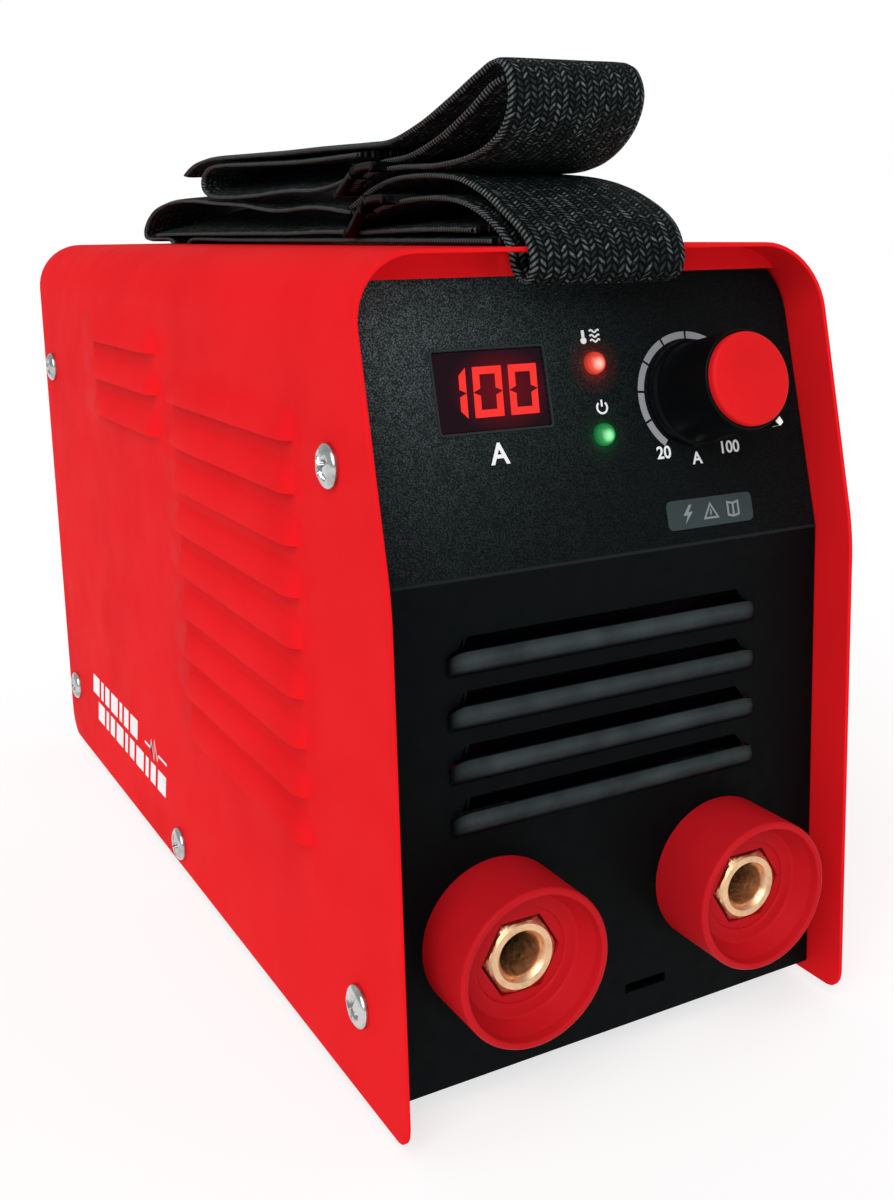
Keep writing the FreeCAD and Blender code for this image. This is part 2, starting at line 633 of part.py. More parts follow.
# ---------------------------------------------------------------- output sockets
def make_socket(name, x):
    """One output socket: red collar, brass insert with a plug bore, and its fasteners inside."""
    at = (x, "panel_recess", "socket_height")
    rim = "collar_radius - 1.5"
    collar = turned(f"{name}_collar", [("stud_radius", "-1.9"), ("cup_radius + 0.2", "-1.9"),
                                       ("cup_radius + 0.2", "0"), ("collar_radius", "0"),
                                       ("collar_radius", "collar_reach - 0.8"),
                                       ("collar_radius - 0.6", "collar_reach"), (rim, "collar_reach"),
                                       ("cup_radius", "cup_floor"), ("stud_radius", "cup_floor")],
                    at, FORWARD)
    hexagon_at = (x, "panel_recess - 5", "socket_height")
    seat = hexagon(f"{name}_hex_seat", "hex_flats + 0.1", "cup_floor", hexagon_at, FORWARD)
    publish(cut(f"{name}_collar_finished", collar, [seat]), f"{name}_socket_collar")

    front = "cup_floor + 0.8"
    head = common(f"{name}_insert_head", [
        hexagon(f"{name}_insert_hex", "hex_flats", "cup_floor - 4.2", hexagon_at, FORWARD),
        turned(f"{name}_insert_round", [("0", "0"), ("12", "0"), ("12", f"{front} - 3"), ("7.7", front),
                                        ("0", front)], at, FORWARD)])
    stud = turned(f"{name}_insert_stud", [("0", "-22"), ("stud_radius - 0.6", "-22"),
                                          ("stud_radius", "-21.4"), ("stud_radius", "5.2"),
                                          ("0", "5.2")], at, FORWARD)
    bore = turned(f"{name}_plug_bore", [("0", "-9"), ("plug_bore", "-9"), ("plug_bore", f"{front} - 1"),
                                        ("plug_bore + 1", front), ("plug_bore + 1", f"{front} + 1"),
                                        ("0", f"{front} + 1")], at, FORWARD)
    key = middle_block(f"{name}_keyway", ("2.4", "16", "3"),
                       (x, "panel_recess - 4.8", "socket_height + plug_bore"))
    solid = fuse(f"{name}_insert_solid", [head, stud])
    publish(cut(f"{name}_insert", solid, [bore, key]), f"{name}_brass_insert")
    return at


def ring(name, outside, inside, low, high, at, turn):
    return turned(name, [(inside, low), (outside, low), (outside, high), (inside, high)], at, turn)


def make_sockets():
    insulators, washers, nuts = [], [], []
    for name, x in socket_places():
        at = make_socket(name, x)
        insulators.append(ring(f"{name}_insulator", "16", "stud_radius", "-6", "-2", at, FORWARD))
        washers.append(ring(f"{name}_washer", "9.5", "stud_radius", "-7.5", "-6", at, FORWARD))
        blank = hexagon(f"{name}_nut_hex", "19", "7", (x, "panel_recess + 16.5", "socket_height"), FORWARD)
        nuts.append(cut(f"{name}_nut", blank, [rod(f"{name}_nut_bore", "stud_radius", "9",
                                                   (x, "panel_recess + 17.5", "socket_height"), FORWARD)]))
        publish(busbar(name, x), f"{name}_busbar")
    publish(group("insulator_rings", insulators), "socket_insulators")
    publish(group("washer_rings", washers), "socket_washers")
    publish(group("nut_hexes", nuts), "socket_nuts")


def busbar(name, x):
    """A bent copper bar from one socket's stud back to the power stage."""
    face = "panel_recess + 7.5"
    upright = block(f"{name}_bar_upright", ("16", "2", "40"), (f"{x} - 8", face, "socket_height - 10"))
    back = block(f"{name}_bar_back", ("16", "44", "2"), (f"{x} - 8", face, "socket_height + 28"))
    hole = rod(f"{name}_bar_hole", "stud_radius", "8", (x, f"{face} + 5", "socket_height"), FORWARD)
    return cut(f"{name}_bar", fuse(f"{name}_bar_solid", [upright, back]), [hole])


# ---------------------------------------------------------------- cooling fan
BLADES = 7
GUARD_RINGS = (14, 23, 32, 41)
SPOKE_REACH = 57


def make_fan():
    """A square axial fan behind the rear panel: frame with struts, and a rotor on its own shaft."""
    back = "rear_face - panel_wall"
    axis = ("0", back, "fan_height")
    body = middle_block("fan_body", ("fan_size", "fan_depth", "fan_size"),
                        ("0", f"{back} - fan_depth / 2", "fan_height"))
    duct = rod("fan_duct", "fan_size / 2 - 2.5", "fan_depth + 2", ("0", f"{back} + 1", "fan_height"), FORWARD)
    screw_holes = [rod(f"frame_hole_{name}", "screw_radius + 0.1", "fan_depth + 2", place, FORWARD)
                   for name, place in fan_corners(f"{back} + 1")]
    shell = cut("fan_shell", body, [duct] + screw_holes)
    struts = [block(f"fan_strut_{index}", ("fan_size / 2 - 1", "2.4", "3"),
                    ("0", f"{back} - fan_depth", "fan_height"),
                    FreeCAD.Rotation(V(0, 1, 0), 45 + 90 * index)) for index in range(4)]
    hub = turned("fan_motor", [("0", "fan_depth - 12"), ("5", "fan_depth - 12"), ("5", "fan_depth - 3"),
                               ("17", "fan_depth - 3"), ("17", "fan_depth"), ("0", "fan_depth")],
                 axis, FORWARD)
    bearing = rod("fan_bearing", "running_gap + 1.5", "fan_depth", axis, FORWARD)
    publish(cut("fan_frame_solid", fuse("fan_frame_blank", [shell, hub] + struts), [bearing]), "fan_frame")

    cup = turned("rotor_hub", [("0", "2"), ("16", "2"), ("18", "4"), ("18", "fan_depth - 4"),
                               ("16.6", "fan_depth - 4"), ("16.6", "4"), ("6.5", "4"), ("1.5", "4"),
                               ("1.5", "fan_depth - 1"), ("0", "fan_depth - 1")], axis, FORWARD)
    root = 17
    blades = []
    for index in range(BLADES):
        angle = 2 * math.pi * index / BLADES
        spun = FreeCAD.Rotation(V(0, 1, 0), math.degrees(angle)).multiply(FreeCAD.Rotation(V(1, 0, 0), 38))
        place = (f"{root * math.cos(angle):.4f}", f"{back} - 4.5",
                 f"fan_height - {root * math.sin(angle):.4f}")
        blades.append(block(f"rotor_blade_{index}", ("26", "1.4", "24"), place, spun))
    swept = turned("rotor_sweep", [("17.5", "3.4"), ("42", "3.4"), ("42", "fan_depth - 4.5"),
                                   ("17.5", "fan_depth - 4.5")], axis, FORWARD)
    trimmed = common("rotor_blades", [fuse("rotor_blade_set", blades), swept])
    publish(fuse("rotor_solid", [cup, trimmed]), "fan_rotor")


def make_fan_guard():
    """Wire finger guard outside the rear panel, held by the four fan screws."""
    wire = "0.9"
    plane = "rear_face + 1.1"
    loops = [primitive("Torus", f"guard_ring_{radius}", {"Radius1": f"{radius}", "Radius2": wire},
                       ("0", f"{plane} + 1.2", "fan_height"), BACKWARD) for radius in GUARD_RINGS]
    spokes = []
    for index, angle in enumerate((45, 135)):
        lean = math.radians(angle)
        start = (f"-{SPOKE_REACH * math.sin(lean):.4f}", plane,
                 f"fan_height - ({SPOKE_REACH * math.cos(lean):.4f})")
        spokes.append(rod(f"guard_spoke_{index}", wire, f"{2 * SPOKE_REACH}", start,
                          FreeCAD.Rotation(V(0, 1, 0), angle)))
    eyes = [rod(f"guard_eye_{name}", "4.4", "2.1", place, BACKWARD)
            for name, place in fan_corners("rear_face")]
    holes = [rod(f"guard_hole_{name}", "screw_radius + 0.1", "8", place, BACKWARD)
             for name, place in fan_corners("rear_face - 2")]
    publish(cut("guard_finished", fuse("guard_wire", loops + spokes + eyes), holes), "fan_guard")
    screws = [screw(f"fan_screw_{name}", "3.8", "2.2", "screw_radius", "fan_depth + 6", place, BACKWARD)
              for name, place in fan_corners("rear_face + 2.1")]
    publish(group("fan_fasteners", screws), "fan_screws")
    nuts = []
    for name, (x, y, z) in fan_corners("rear_face - panel_wall - fan_depth"):
        blank = hexagon(f"fan_nut_hex_{name}", "7", "3", (x, y, z), FORWARD)
        nuts.append(cut(f"fan_nut_{name}", blank, [rod(f"fan_nut_bore_{name}", "screw_radius", "5",
                                                       (x, f"{y} + 1", z), FORWARD)]))
    publish(group("fan_nut_set", nuts), "fan_nuts")


# ---------------------------------------------------------------- mains switch
ROCKER_TILT = 10


def make_switch():
    """A panel rocker switch: case with a round cradle, and the rocker on its own pivot pin."""
    pivot = ("rear_spread", "rear_face - 0.5", "rear_row")
    bezel = middle_block("switch_bezel", ("25", "2", "31"), ("rear_spread", "rear_face + 1", "rear_row"))
    case = block("switch_case_block", ("21.8", "22", "27.8"),
                 ("rear_spread - 10.9", "rear_face - 22", "rear_row - 13.9"))
    cradle = rod("switch_cradle", "12.6", "16.4", (f"{pivot[0]} - 8.2", pivot[1], pivot[2]), SIDEWAYS)
    pin_hole = rod("switch_pin_hole", "1.5 + running_gap", "20.4",
                   (f"{pivot[0]} - 10.2", pivot[1], pivot[2]), SIDEWAYS)
    blades = [middle_block(f"switch_blade_{name}", ("0.8", "9", "6.3"),
                           (f"rear_spread + {side} * 6", "rear_face - 26.4", f"rear_row + {lift}"))
              for name, side, lift in (("a", -1, -8), ("b", 1, -8), ("c", -1, 8), ("d", 1, 8))]
    solid = fuse("switch_case_solid", [bezel, case] + blades)
    publish(cut("switch_case_finished", solid, [cradle, pin_hole]), "mains_switch")

    body = prism("rocker_profile", "YZ_Plane",
                 [("4.2", "-11.3"), ("2.9", "0"), ("4.2", "11.3"), ("2", "11.9"), ("-7", "8"), ("-9", "0"),
                  ("-7", "-8"), ("2", "-11.9")], "16", centred=True)
    tilt = FreeCAD.Rotation(V(1, 0, 0), ROCKER_TILT)
    put(body, pivot, tilt)
    pin = rod("rocker_pin", "1.5", "20", (f"{pivot[0]} - 10", pivot[1], pivot[2]), SIDEWAYS)
    publish(fuse("rocker_solid", [body, pin]), "switch_rocker")


# ---------------------------------------------------------------- cable gland
def make_gland():
    """Mains cable gland: threaded body, lock nut inside, rubber seal and domed clamping nut."""
    at = ("-rear_spread", "rear_face", "rear_row")
    seal_outside = "cable_radius + 2.4"
    tube = turned("gland_tube", [("6", "-9"), ("8", "-9"), ("8", "5.5"), (f"{seal_outside} + 1", "5.5"),
                                 (f"{seal_outside} + 1", "10"), (seal_outside, "10"), (seal_outside, "3"),
                                 ("6", "3")], at, BACKWARD)
    hex_bore = rod("gland_hex_bore", seal_outside, "8", ("-rear_spread", "rear_face - 1", "rear_row"),
                   BACKWARD)
    flange = cut("gland_flange", hexagon("gland_hex", "22", "4.5", at, BACKWARD), [hex_bore])
    publish(fuse("gland_body_solid", [tube, flange]), "gland_body")
    seal = ring("gland_seal_ring", f"{seal_outside} - 0.05", "cable_radius", "3.1", "12.1", at, BACKWARD)
    publish(seal, "gland_seal")
    end = "gland_end - rear_face"
    thread = f"{seal_outside} + 1.05"
    mouth = "cable_radius + 0.6"
    dome = turned("gland_dome", [(thread, "5.6"), ("10.6", "5.6"), ("10.6", "11"), ("9.4", f"{end} - 1"),
                                 ("8", end), (mouth, end), (mouth, "12.2"), (thread, "12.2")], at, BACKWARD)
    flutes = [rod(f"dome_flute_{index}", "1.3", "12",
                  (f"-rear_spread + {11 * math.cos(math.pi * index / 6):.4f}", "rear_face + 4.6",
                   f"rear_row + {11 * math.sin(math.pi * index / 6):.4f}"), BACKWARD) for index in range(12)]
    publish(cut("gland_dome_fluted", dome, flutes), "gland_nut")
    lock_at = ("-rear_spread", "rear_face - panel_wall - 4", "rear_row")
    bore = rod("gland_lock_bore", "8", "6",
               ("-rear_spread", "rear_face - panel_wall - 5", "rear_row"), BACKWARD)
    lock = cut("gland_lock_blank", hexagon("gland_lock_hex", "23", "4", lock_at, BACKWARD), [bore])
    publish(lock, "gland_lock_nut")


# ---------------------------------------------------------------- electronics
def make_control_board():
    """The control board behind the leaning face, parallel to it."""
    board = face_block("control_board_blank", "100", "46", "board_thickness", "0", "34",
                       "-board_depth - board_thickness")
    chips = [face_block(f"control_chip_{index}", "12", "8", "2", f"{-34 + 16 * index}", "20",
                        "-board_depth - board_thickness - 2") for index in range(4)]
    publish(fuse("control_board_solid", [board] + chips), "control_board")


def make_power_board():
    """The power board on its posts, low in the case."""
    board = block("power_board_blank", ("100", "184", "board_thickness"), ("-50", "56", "board_level"))
    holes = [rod(f"board_hole_{name}", "base_hole", "6", (x, y, "board_level - 2"))
             for name, x, y in corners(POSTS_Y, "post_x")]
    publish(cut("power_board_finished", board, holes), "power_board")
    posts, board_screws = [], []
    for name, x, y in corners(POSTS_Y, "post_x"):
        post = rod(f"post_{name}_blank", "3.2", "board_level - panel_floor", (x, y, "panel_floor"))
        bore = rod(f"post_{name}_bore", "base_hole", "20", (x, y, "panel_floor - 2"))
        posts.append(cut(f"post_{name}", post, [bore]))
        board_screws.append(screw(f"board_screw_{name}", "2.8", "1.6", "base_hole", "6",
                                  (x, y, "board_level + board_thickness"), FreeCAD.Rotation()))
    publish(group("board_post_set", posts), "board_posts")
    publish(group("board_fasteners", board_screws), "board_screws")


HEAT_SINKS = (("transistor", -1), ("rectifier", 1))
FINS = 9
FIN_PITCH = 8


def fin_profile(side):
    """Comb-shaped section of a heat sink whose fins point towards the case wall."""
    low, spine, root, tip, fin = 18, 29, 33, 51, 2
    points = [(spine, low), (tip, low)]
    for index in range(FINS):
        z = low + FIN_PITCH * index
        points += [(tip, z + fin), (root, z + fin)]
        if index < FINS - 1:
            points += [(root, z + FIN_PITCH), (tip, z + FIN_PITCH)]
    points.append((spine, low + FIN_PITCH * (FINS - 1) + fin))
    unique = [p for i, p in enumerate(points) if p != points[i - 1]]
    return [(f"{side * x}", f"{z}") for x, z in unique]


def make_power_stage():
    """Heat sinks with their transistors and diodes, transformer, choke, capacitors and bridge."""
    for name, side in HEAT_SINKS:
        sink = prism(f"{name}_fins", "XZ_Plane", fin_profile(side), "110")
        put(sink, ("0", "68", "0"))
        publish(sink, f"{name}_heat_sink")
        chips = [middle_block(f"{name}_chip_{index}", ("5", "16", "21"),
                              (f"{side} * 26.5", f"{84 + 26 * index}", "44")) for index in range(4)]
        publish(group(f"{name}_chips", chips), f"{name}_packages")

    middle = ("0", "92", "40")
    core = cut("ferrite_blank", middle_block("ferrite_block", ("42", "36", "46"), middle),
               [middle_block(f"ferrite_window_{name}", ("9", "50", "30"), (f"{side} * 12", "92", "40"))
                for name, side in SIDES])
    publish(core, "transformer_core")
    winding = cut("winding_blank", middle_block("winding_block", ("30", "50", "29"), middle),
                  [middle_block("winding_inside", ("15.2", "36.2", "40"), middle)])
    publish(winding, "transformer_winding")

    board_top = "board_level + board_thickness"
    choke = primitive("Torus", "choke_ring", {"Radius1": "15", "Radius2": "6"},
                      ("0", "142", "board_level + 9"))
    publish(choke, "output_choke")
    can_outline = [("0", "0"), ("14.5", "0"), ("14.5", "42"), ("13.5", "43"), ("0", "43")]
    cans = [turned(f"capacitor_{index}", can_outline, (f"{x}", f"{y}", board_top))
            for index, (x, y) in enumerate(((-17, 198), (17, 198), (0, 225)))]
    publish(group("capacitor_set", cans), "filter_capacitors")
    publish(block("bridge_block", ("22", "22", "8"), ("17", "216", board_top)), "bridge_rectifier")
    publish(block("relay_block", ("15", "19", "16"), ("-44", "206", board_top)), "soft_start_relay")


# ---------------------------------------------------------------- carrying strap
def band(name, points):
    """A strip of webbing that follows a smooth line of (y, z) points, as one closed solid."""
    width = size("strap_width")
    start = -width / 2
    curve = Part.BSplineCurve()
    curve.interpolate([V(start, y, z) for y, z in points])
    half = size("strap_thickness") / 2
    count = 8 * len(points)
    first, last = curve.FirstParameter, curve.LastParameter
    left, right = [], []
    for i in range(count + 1):
        u = first + (last - first) * i / count
        spot, ahead = curve.value(u), curve.tangent(u)[0]
        normal = V(0, -ahead.z, ahead.y) * half
        left.append(spot + normal)
        right.append(spot - normal)
    edges = []
    for side in (left, list(reversed(right))):
        line = Part.BSplineCurve()
        line.interpolate(side)
        edges.append(line.toShape())
    edges.insert(1, Part.makeLine(left[-1], right[-1]))
    edges.append(Part.makeLine(right[0], left[0]))
    obj = doc.addObject("Part::Feature", name)
    obj.Shape = Part.Face(Part.Wire(edges)).extrude(V(width, 0, 0))
    return obj


# Side view of the webbing as (y, z) in the case frame.
FRONT_LOOP = [(72, 190.2), (52, 190.6), (38, 188.4), (28, 185.2), (21.4, 180.6), (19.6, 175.6), (16, 172.6),
              (12.6, 175), (12, 179.5), (16.5, 185), (27, 189.4), (45, 193.2), (72, 195.4)]
UPPER_LOOP = [(76, 198.4), (60, 198.6), (44, 199.4), (30, 203), (22.5, 209), (24, 215.6), (31, 218.6),
              (42, 215.4), (56, 209.4), (76, 204.6)]
UPPER_RUN = [(76.6, 204.6), (110, 204.4), (160, 204.6), (210, 205.4), (236, 205.8), (243, 204.4),
             (245, 201.6)]
MIDDLE_RUN = [(108, 192.6), (130, 194), (170, 195.4), (224, 194.4)]
REAR_FOLD = [(108, 189.4), (150, 190.2), (220, 190.4), (270, 191.4), (293, 191.4), (301.4, 188),
             (299.5, 183.6), (290, 182.2), (280, 182.4)]
REAR_LOOP = [(170, 185.6), (220, 185.6), (240, 184.4), (247.9, 180.6), (249.6, 176.4), (255, 174.2),
             (260.4, 176.4), (262.1, 180.6), (266.4, 184), (273, 186.2)]
SLIDER_TURNS = {"front": (("87", "188.2"), 13), "upper": (("92", "198.6"), 12)}


def make_slider(name):
    """A three-bar slider that the webbing is threaded through."""
    (y, z), tilt = SLIDER_TURNS[name]
    turn = FreeCAD.Rotation(V(1, 0, 0), -tilt)
    plate = block(f"{name}_slider_plate", ("strap_width + 7", "26", "3"), ("0", "0", "0"))
    slots = [block(f"{name}_slider_slot_{index}", ("strap_width + 1", "6.5", "6"), ("3", f"{start}", "-1"))
             for index, start in enumerate((4, 15.5))]
    slider = put(cut(f"{name}_slider_blank", plate, slots), ("-strap_width / 2 - 3.5", f"{y} - 13", z), turn)
    publish(slider, f"{name}_strap_slider")


def make_strap():
    publish(band("front_loop_band", FRONT_LOOP), "strap_front_loop")
    publish(band("upper_loop_band", UPPER_LOOP), "strap_upper_loop")
    publish(band("rear_loop_band", REAR_LOOP), "strap_rear_loop")
    runs = [band("upper_run_band", UPPER_RUN), band("middle_run_band", MIDDLE_RUN),
            band("rear_fold_band", REAR_FOLD)]
    publish(group("folded_bands", runs), "strap_folded_run")
    for name in SLIDER_TURNS:
        make_slider(name)


# ---------------------------------------------------------------- build, check and write
def check(obj):
    faults = [state for state in obj.State if state in ("Invalid", "Error")]
    if faults:
        raise RuntimeError(f"{obj.Label} ({obj.Name}) is {faults}")


def write_parts():
    doc.recompute()
    for obj in doc.Objects:
        check(obj)
    os.makedirs("parts", exist_ok=True)
    for obj in sub_parts:
        if obj.Shape.isNull() or not obj.Shape.isValid() or not obj.Shape.Solids:
            raise RuntimeError(f"{obj.Label} has no valid shape")
        obj.Shape.exportStep(f"parts/{obj.Label}.step")
        print(f"{obj.Label}: {len(obj.Shape.Solids)} solid(s), {obj.Shape.Volume:.0f} mm3")


for make in (make_cover, make_front_panel, make_rear_panel, make_base_plate, make_case_fasteners,
             make_knob, make_potentiometer, make_display, make_lamps, make_label_plate, make_sockets,
             make_fan, make_fan_guard, make_switch, make_gland, make_control_board, make_power_board,
             make_power_stage, make_strap):
    make()
write_parts()
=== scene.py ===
"""Looks of the stick welding inverter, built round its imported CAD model.

Lengths in the constants are millimetres. Places on the case are given as the design gives them: x across
from the middle, y back from the cover's lower front edge, z up from the cover's bottom edge. Places on the
leaning control panel are given as x across and rise, the distance up the panel from its knee.
"""
import json
import math

import bmesh
import bpy
from mathutils import Matrix, Vector
from mathutils.geometry import tessellate_polygon


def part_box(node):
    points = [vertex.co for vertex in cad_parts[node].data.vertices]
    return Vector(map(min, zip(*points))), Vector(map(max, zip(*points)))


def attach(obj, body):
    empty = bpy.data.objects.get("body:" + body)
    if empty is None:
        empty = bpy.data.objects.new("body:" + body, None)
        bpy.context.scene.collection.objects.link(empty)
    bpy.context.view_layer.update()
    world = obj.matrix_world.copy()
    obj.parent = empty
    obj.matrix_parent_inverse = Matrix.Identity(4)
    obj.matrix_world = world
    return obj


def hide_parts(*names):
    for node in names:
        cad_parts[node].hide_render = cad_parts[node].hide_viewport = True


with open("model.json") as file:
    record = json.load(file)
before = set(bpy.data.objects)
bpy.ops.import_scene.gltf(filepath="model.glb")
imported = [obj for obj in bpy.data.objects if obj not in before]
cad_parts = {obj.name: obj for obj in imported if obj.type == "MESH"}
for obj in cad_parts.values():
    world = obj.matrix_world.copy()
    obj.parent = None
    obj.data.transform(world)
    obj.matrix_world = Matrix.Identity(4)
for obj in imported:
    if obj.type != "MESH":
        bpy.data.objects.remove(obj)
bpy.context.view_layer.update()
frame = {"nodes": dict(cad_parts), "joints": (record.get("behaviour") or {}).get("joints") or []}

MM, TINY = 0.001, 1e-6
RIGHT, BACK, UP = Vector((1, 0, 0)), Vector((0, 1, 0)), Vector((0, 0, 1))

# ---------------- places taken from the frame
COVER_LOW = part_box("cover")[0]
DIAL = next(j for j in frame["joints"] if j["name"] == "knob_turn")
PANEL_OUT = Vector(DIAL["axis"])
PANEL_UP = PANEL_OUT.cross(RIGHT)
DIAL_X, DIAL_RISE = 26.2, 33.4
WIDTH, HEIGHT, DEPTH, SHEET = 116, 180, 296.5, 1
KNEE, EDGE_LEAN, BEND = 114.2, math.radians(12.2), 15
PANEL_Y, PANEL_FLOOR, PANEL_TOP, PANEL_WALL = 11.6, 3.3, 177.7, 1.3
PANEL_LEAN = math.atan2(PANEL_OUT.z, -PANEL_OUT.y)
REAR_Y = 292.5
SIDES = (-1, 1)
WINDOW_X, WINDOW_RISE, WINDOW_W, WINDOW_H = -23.7, 37.8, 26, 16.8
LAMP_X = 1.7
LAMPS = {"overload_lamp": (0.3, 0.012, 0.004), "power_lamp": (0.004, 0.09, 0.02)}
# The first is how far the lamps' painted light reaches on the panel round them, and the second is the bright
# middle of each lamp's lens
PAINTED_LAMP_HALO, LAMP_CORE = 7, 3
GRAIN_SCALE, COAT_ROUGHNESS = 2500.0, 0.15


def at(x, y, z):
    """A point of the case in metres, in the frame."""
    return Vector((x * MM, COVER_LOW.y + y * MM, COVER_LOW.z + z * MM))


def axes(origin, right, up):
    """A matrix whose x runs right, y runs up and z stands out of the surface, in millimetres."""
    out = right.cross(up)
    columns = Matrix((right, up, out)).transposed().to_4x4()
    return Matrix.Translation(origin) @ columns @ Matrix.Scale(MM, 4)


def on_panel(x, rise, out=0):
    origin = Vector(DIAL["pos_m"]) + RIGHT * (x - DIAL_X) * MM + PANEL_UP * (rise - DIAL_RISE) * MM
    return axes(origin + PANEL_OUT * out * MM, RIGHT, PANEL_UP)


def on_front(x, z):
    return axes(at(x, PANEL_Y, z), RIGHT, UP)


def on_rear(x, z, out):
    return axes(at(x, REAR_Y + out, z), -RIGHT, UP)


def on_side(side, y, z):
    return axes(at(side * WIDTH / 2, y, z), BACK * side, UP)


# ---------------- materials
def put(made, value, target):
    """Links a socket to an input, or writes a plain colour or number on it."""
    if isinstance(value, bpy.types.NodeSocket):
        made.node_tree.links.new(value, target)
    elif value is not None:
        target.default_value = (*value, 1) if hasattr(value, "__len__") else value


def drive(made, name, value):
    """Feeds one of the shader's own inputs."""
    put(made, value, made.node_tree.nodes["Principled BSDF"].inputs[name])


def material(name, colour, rough, metal=0.0, coat=0.0, specular=0.5, sheen=0.0):
    """A Principled material whose uniform values stand on the shader's own sockets."""
    made = bpy.data.materials.new(name)
    made.use_nodes = True
    values = {"Base Color": colour, "Roughness": rough, "Metallic": metal, "Coat Weight": coat,
              "Coat Roughness": COAT_ROUGHNESS, "Specular IOR Level": specular, "Sheen Weight": sheen}
    for socket, value in values.items():
        drive(made, socket, value)
    return made


def emit(made, colour, strength=1.0):
    drive(made, "Emission Color", colour)
    drive(made, "Emission Strength", strength)
    return made


def dimmed(colour, share):
    return tuple(channel * share for channel in colour)


def node(made, kind, **values):
    """A node of a material. Values named like its inputs feed them, and the others are its settings."""
    new = made.node_tree.nodes.new(f"ShaderNode{kind}")
    for key, value in values.items():
        if key in new.inputs:
            put(made, value, new.inputs[key])
        else:
            setattr(new, key, value)
    return new


def place_of(made, source="Object"):
    return node(made, "TexCoord").outputs[source]


def noise(made, scale, detail=3.0, rough=0.5):
    texture = node(made, "TexNoise", Scale=scale, Detail=detail, Roughness=rough, Vector=place_of(made))
    return texture.outputs["Fac"]


def ramp(made, value, stops):
    """Maps a value to colours, or to greys where a stop is a plain number."""
    new = node(made, "ValToRGB", Fac=value)
    band = new.color_ramp
    while len(band.elements) < len(stops):
        band.elements.new(0.5)
    for element, (place, colour) in zip(band.elements, stops):
        element.position = place
        element.color = (*(colour if hasattr(colour, "__len__") else [colour] * 3), 1)
    return new.outputs["Color"]


def mix(made, factor, low, high, blend="MIX"):
    """Mixes two colours, each a socket or a plain colour."""
    new = node(made, "Mix", data_type="RGBA", blend_type=blend)
    for index, value in ((0, factor), (6, low), (7, high)):
        put(made, value, new.inputs[index])
    return new.outputs[2]


def maths(made, operation, *values):
    new = node(made, "Math", operation=operation)
    for socket, value in zip(new.inputs, values):
        put(made, value, socket)
    return new.outputs[0]


def times(made, first, *others):
    """The product of two or more values."""
    for other in others:
        first = maths(made, "MULTIPLY", first, other)
    return first


def span(made, value, start, end):
    """0 at start, 1 at end, and in proportion between them."""
    ends = {"From Min": start, "From Max": end}
    return node(made, "MapRange", clamp=True, Value=value, **ends).outputs["Result"]


def bump(made, heights):
    """Chains bumps: each is (height socket, how deep in metres)."""
    normal = None
    for height, depth in heights:
        new = node(made, "Bump", Strength=1.0, Distance=depth, Height=height, Normal=normal)
        normal = new.outputs["Normal"]
    drive(made, "Normal", normal)


def worn(made, colour, dust, rough_range, scale):
    """Faint handling marks: a little colour change and uneven gloss."""
    low, high = rough_range
    patches = ramp(made, noise(made, scale, detail=5), ((0.45, 0.0), (0.8, 1.0)))
    drive(made, "Base Color", mix(made, patches, colour, dust))
    drive(made, "Roughness", ramp(made, noise(made, scale * 4), ((0.3, low), (0.75, high))))


def painted_steel(name, colour, shade):
    """Smooth powder coat: a faint orange peel and slightly darker patches."""
    made = material(name, colour, 0.5, specular=0.006)
    worn(made, colour, shade, (0.45, 0.58), 18)
    bump(made, [(noise(made, 900, 2), 0.000012), (noise(made, 90, 2), 0.00001)])
    return made


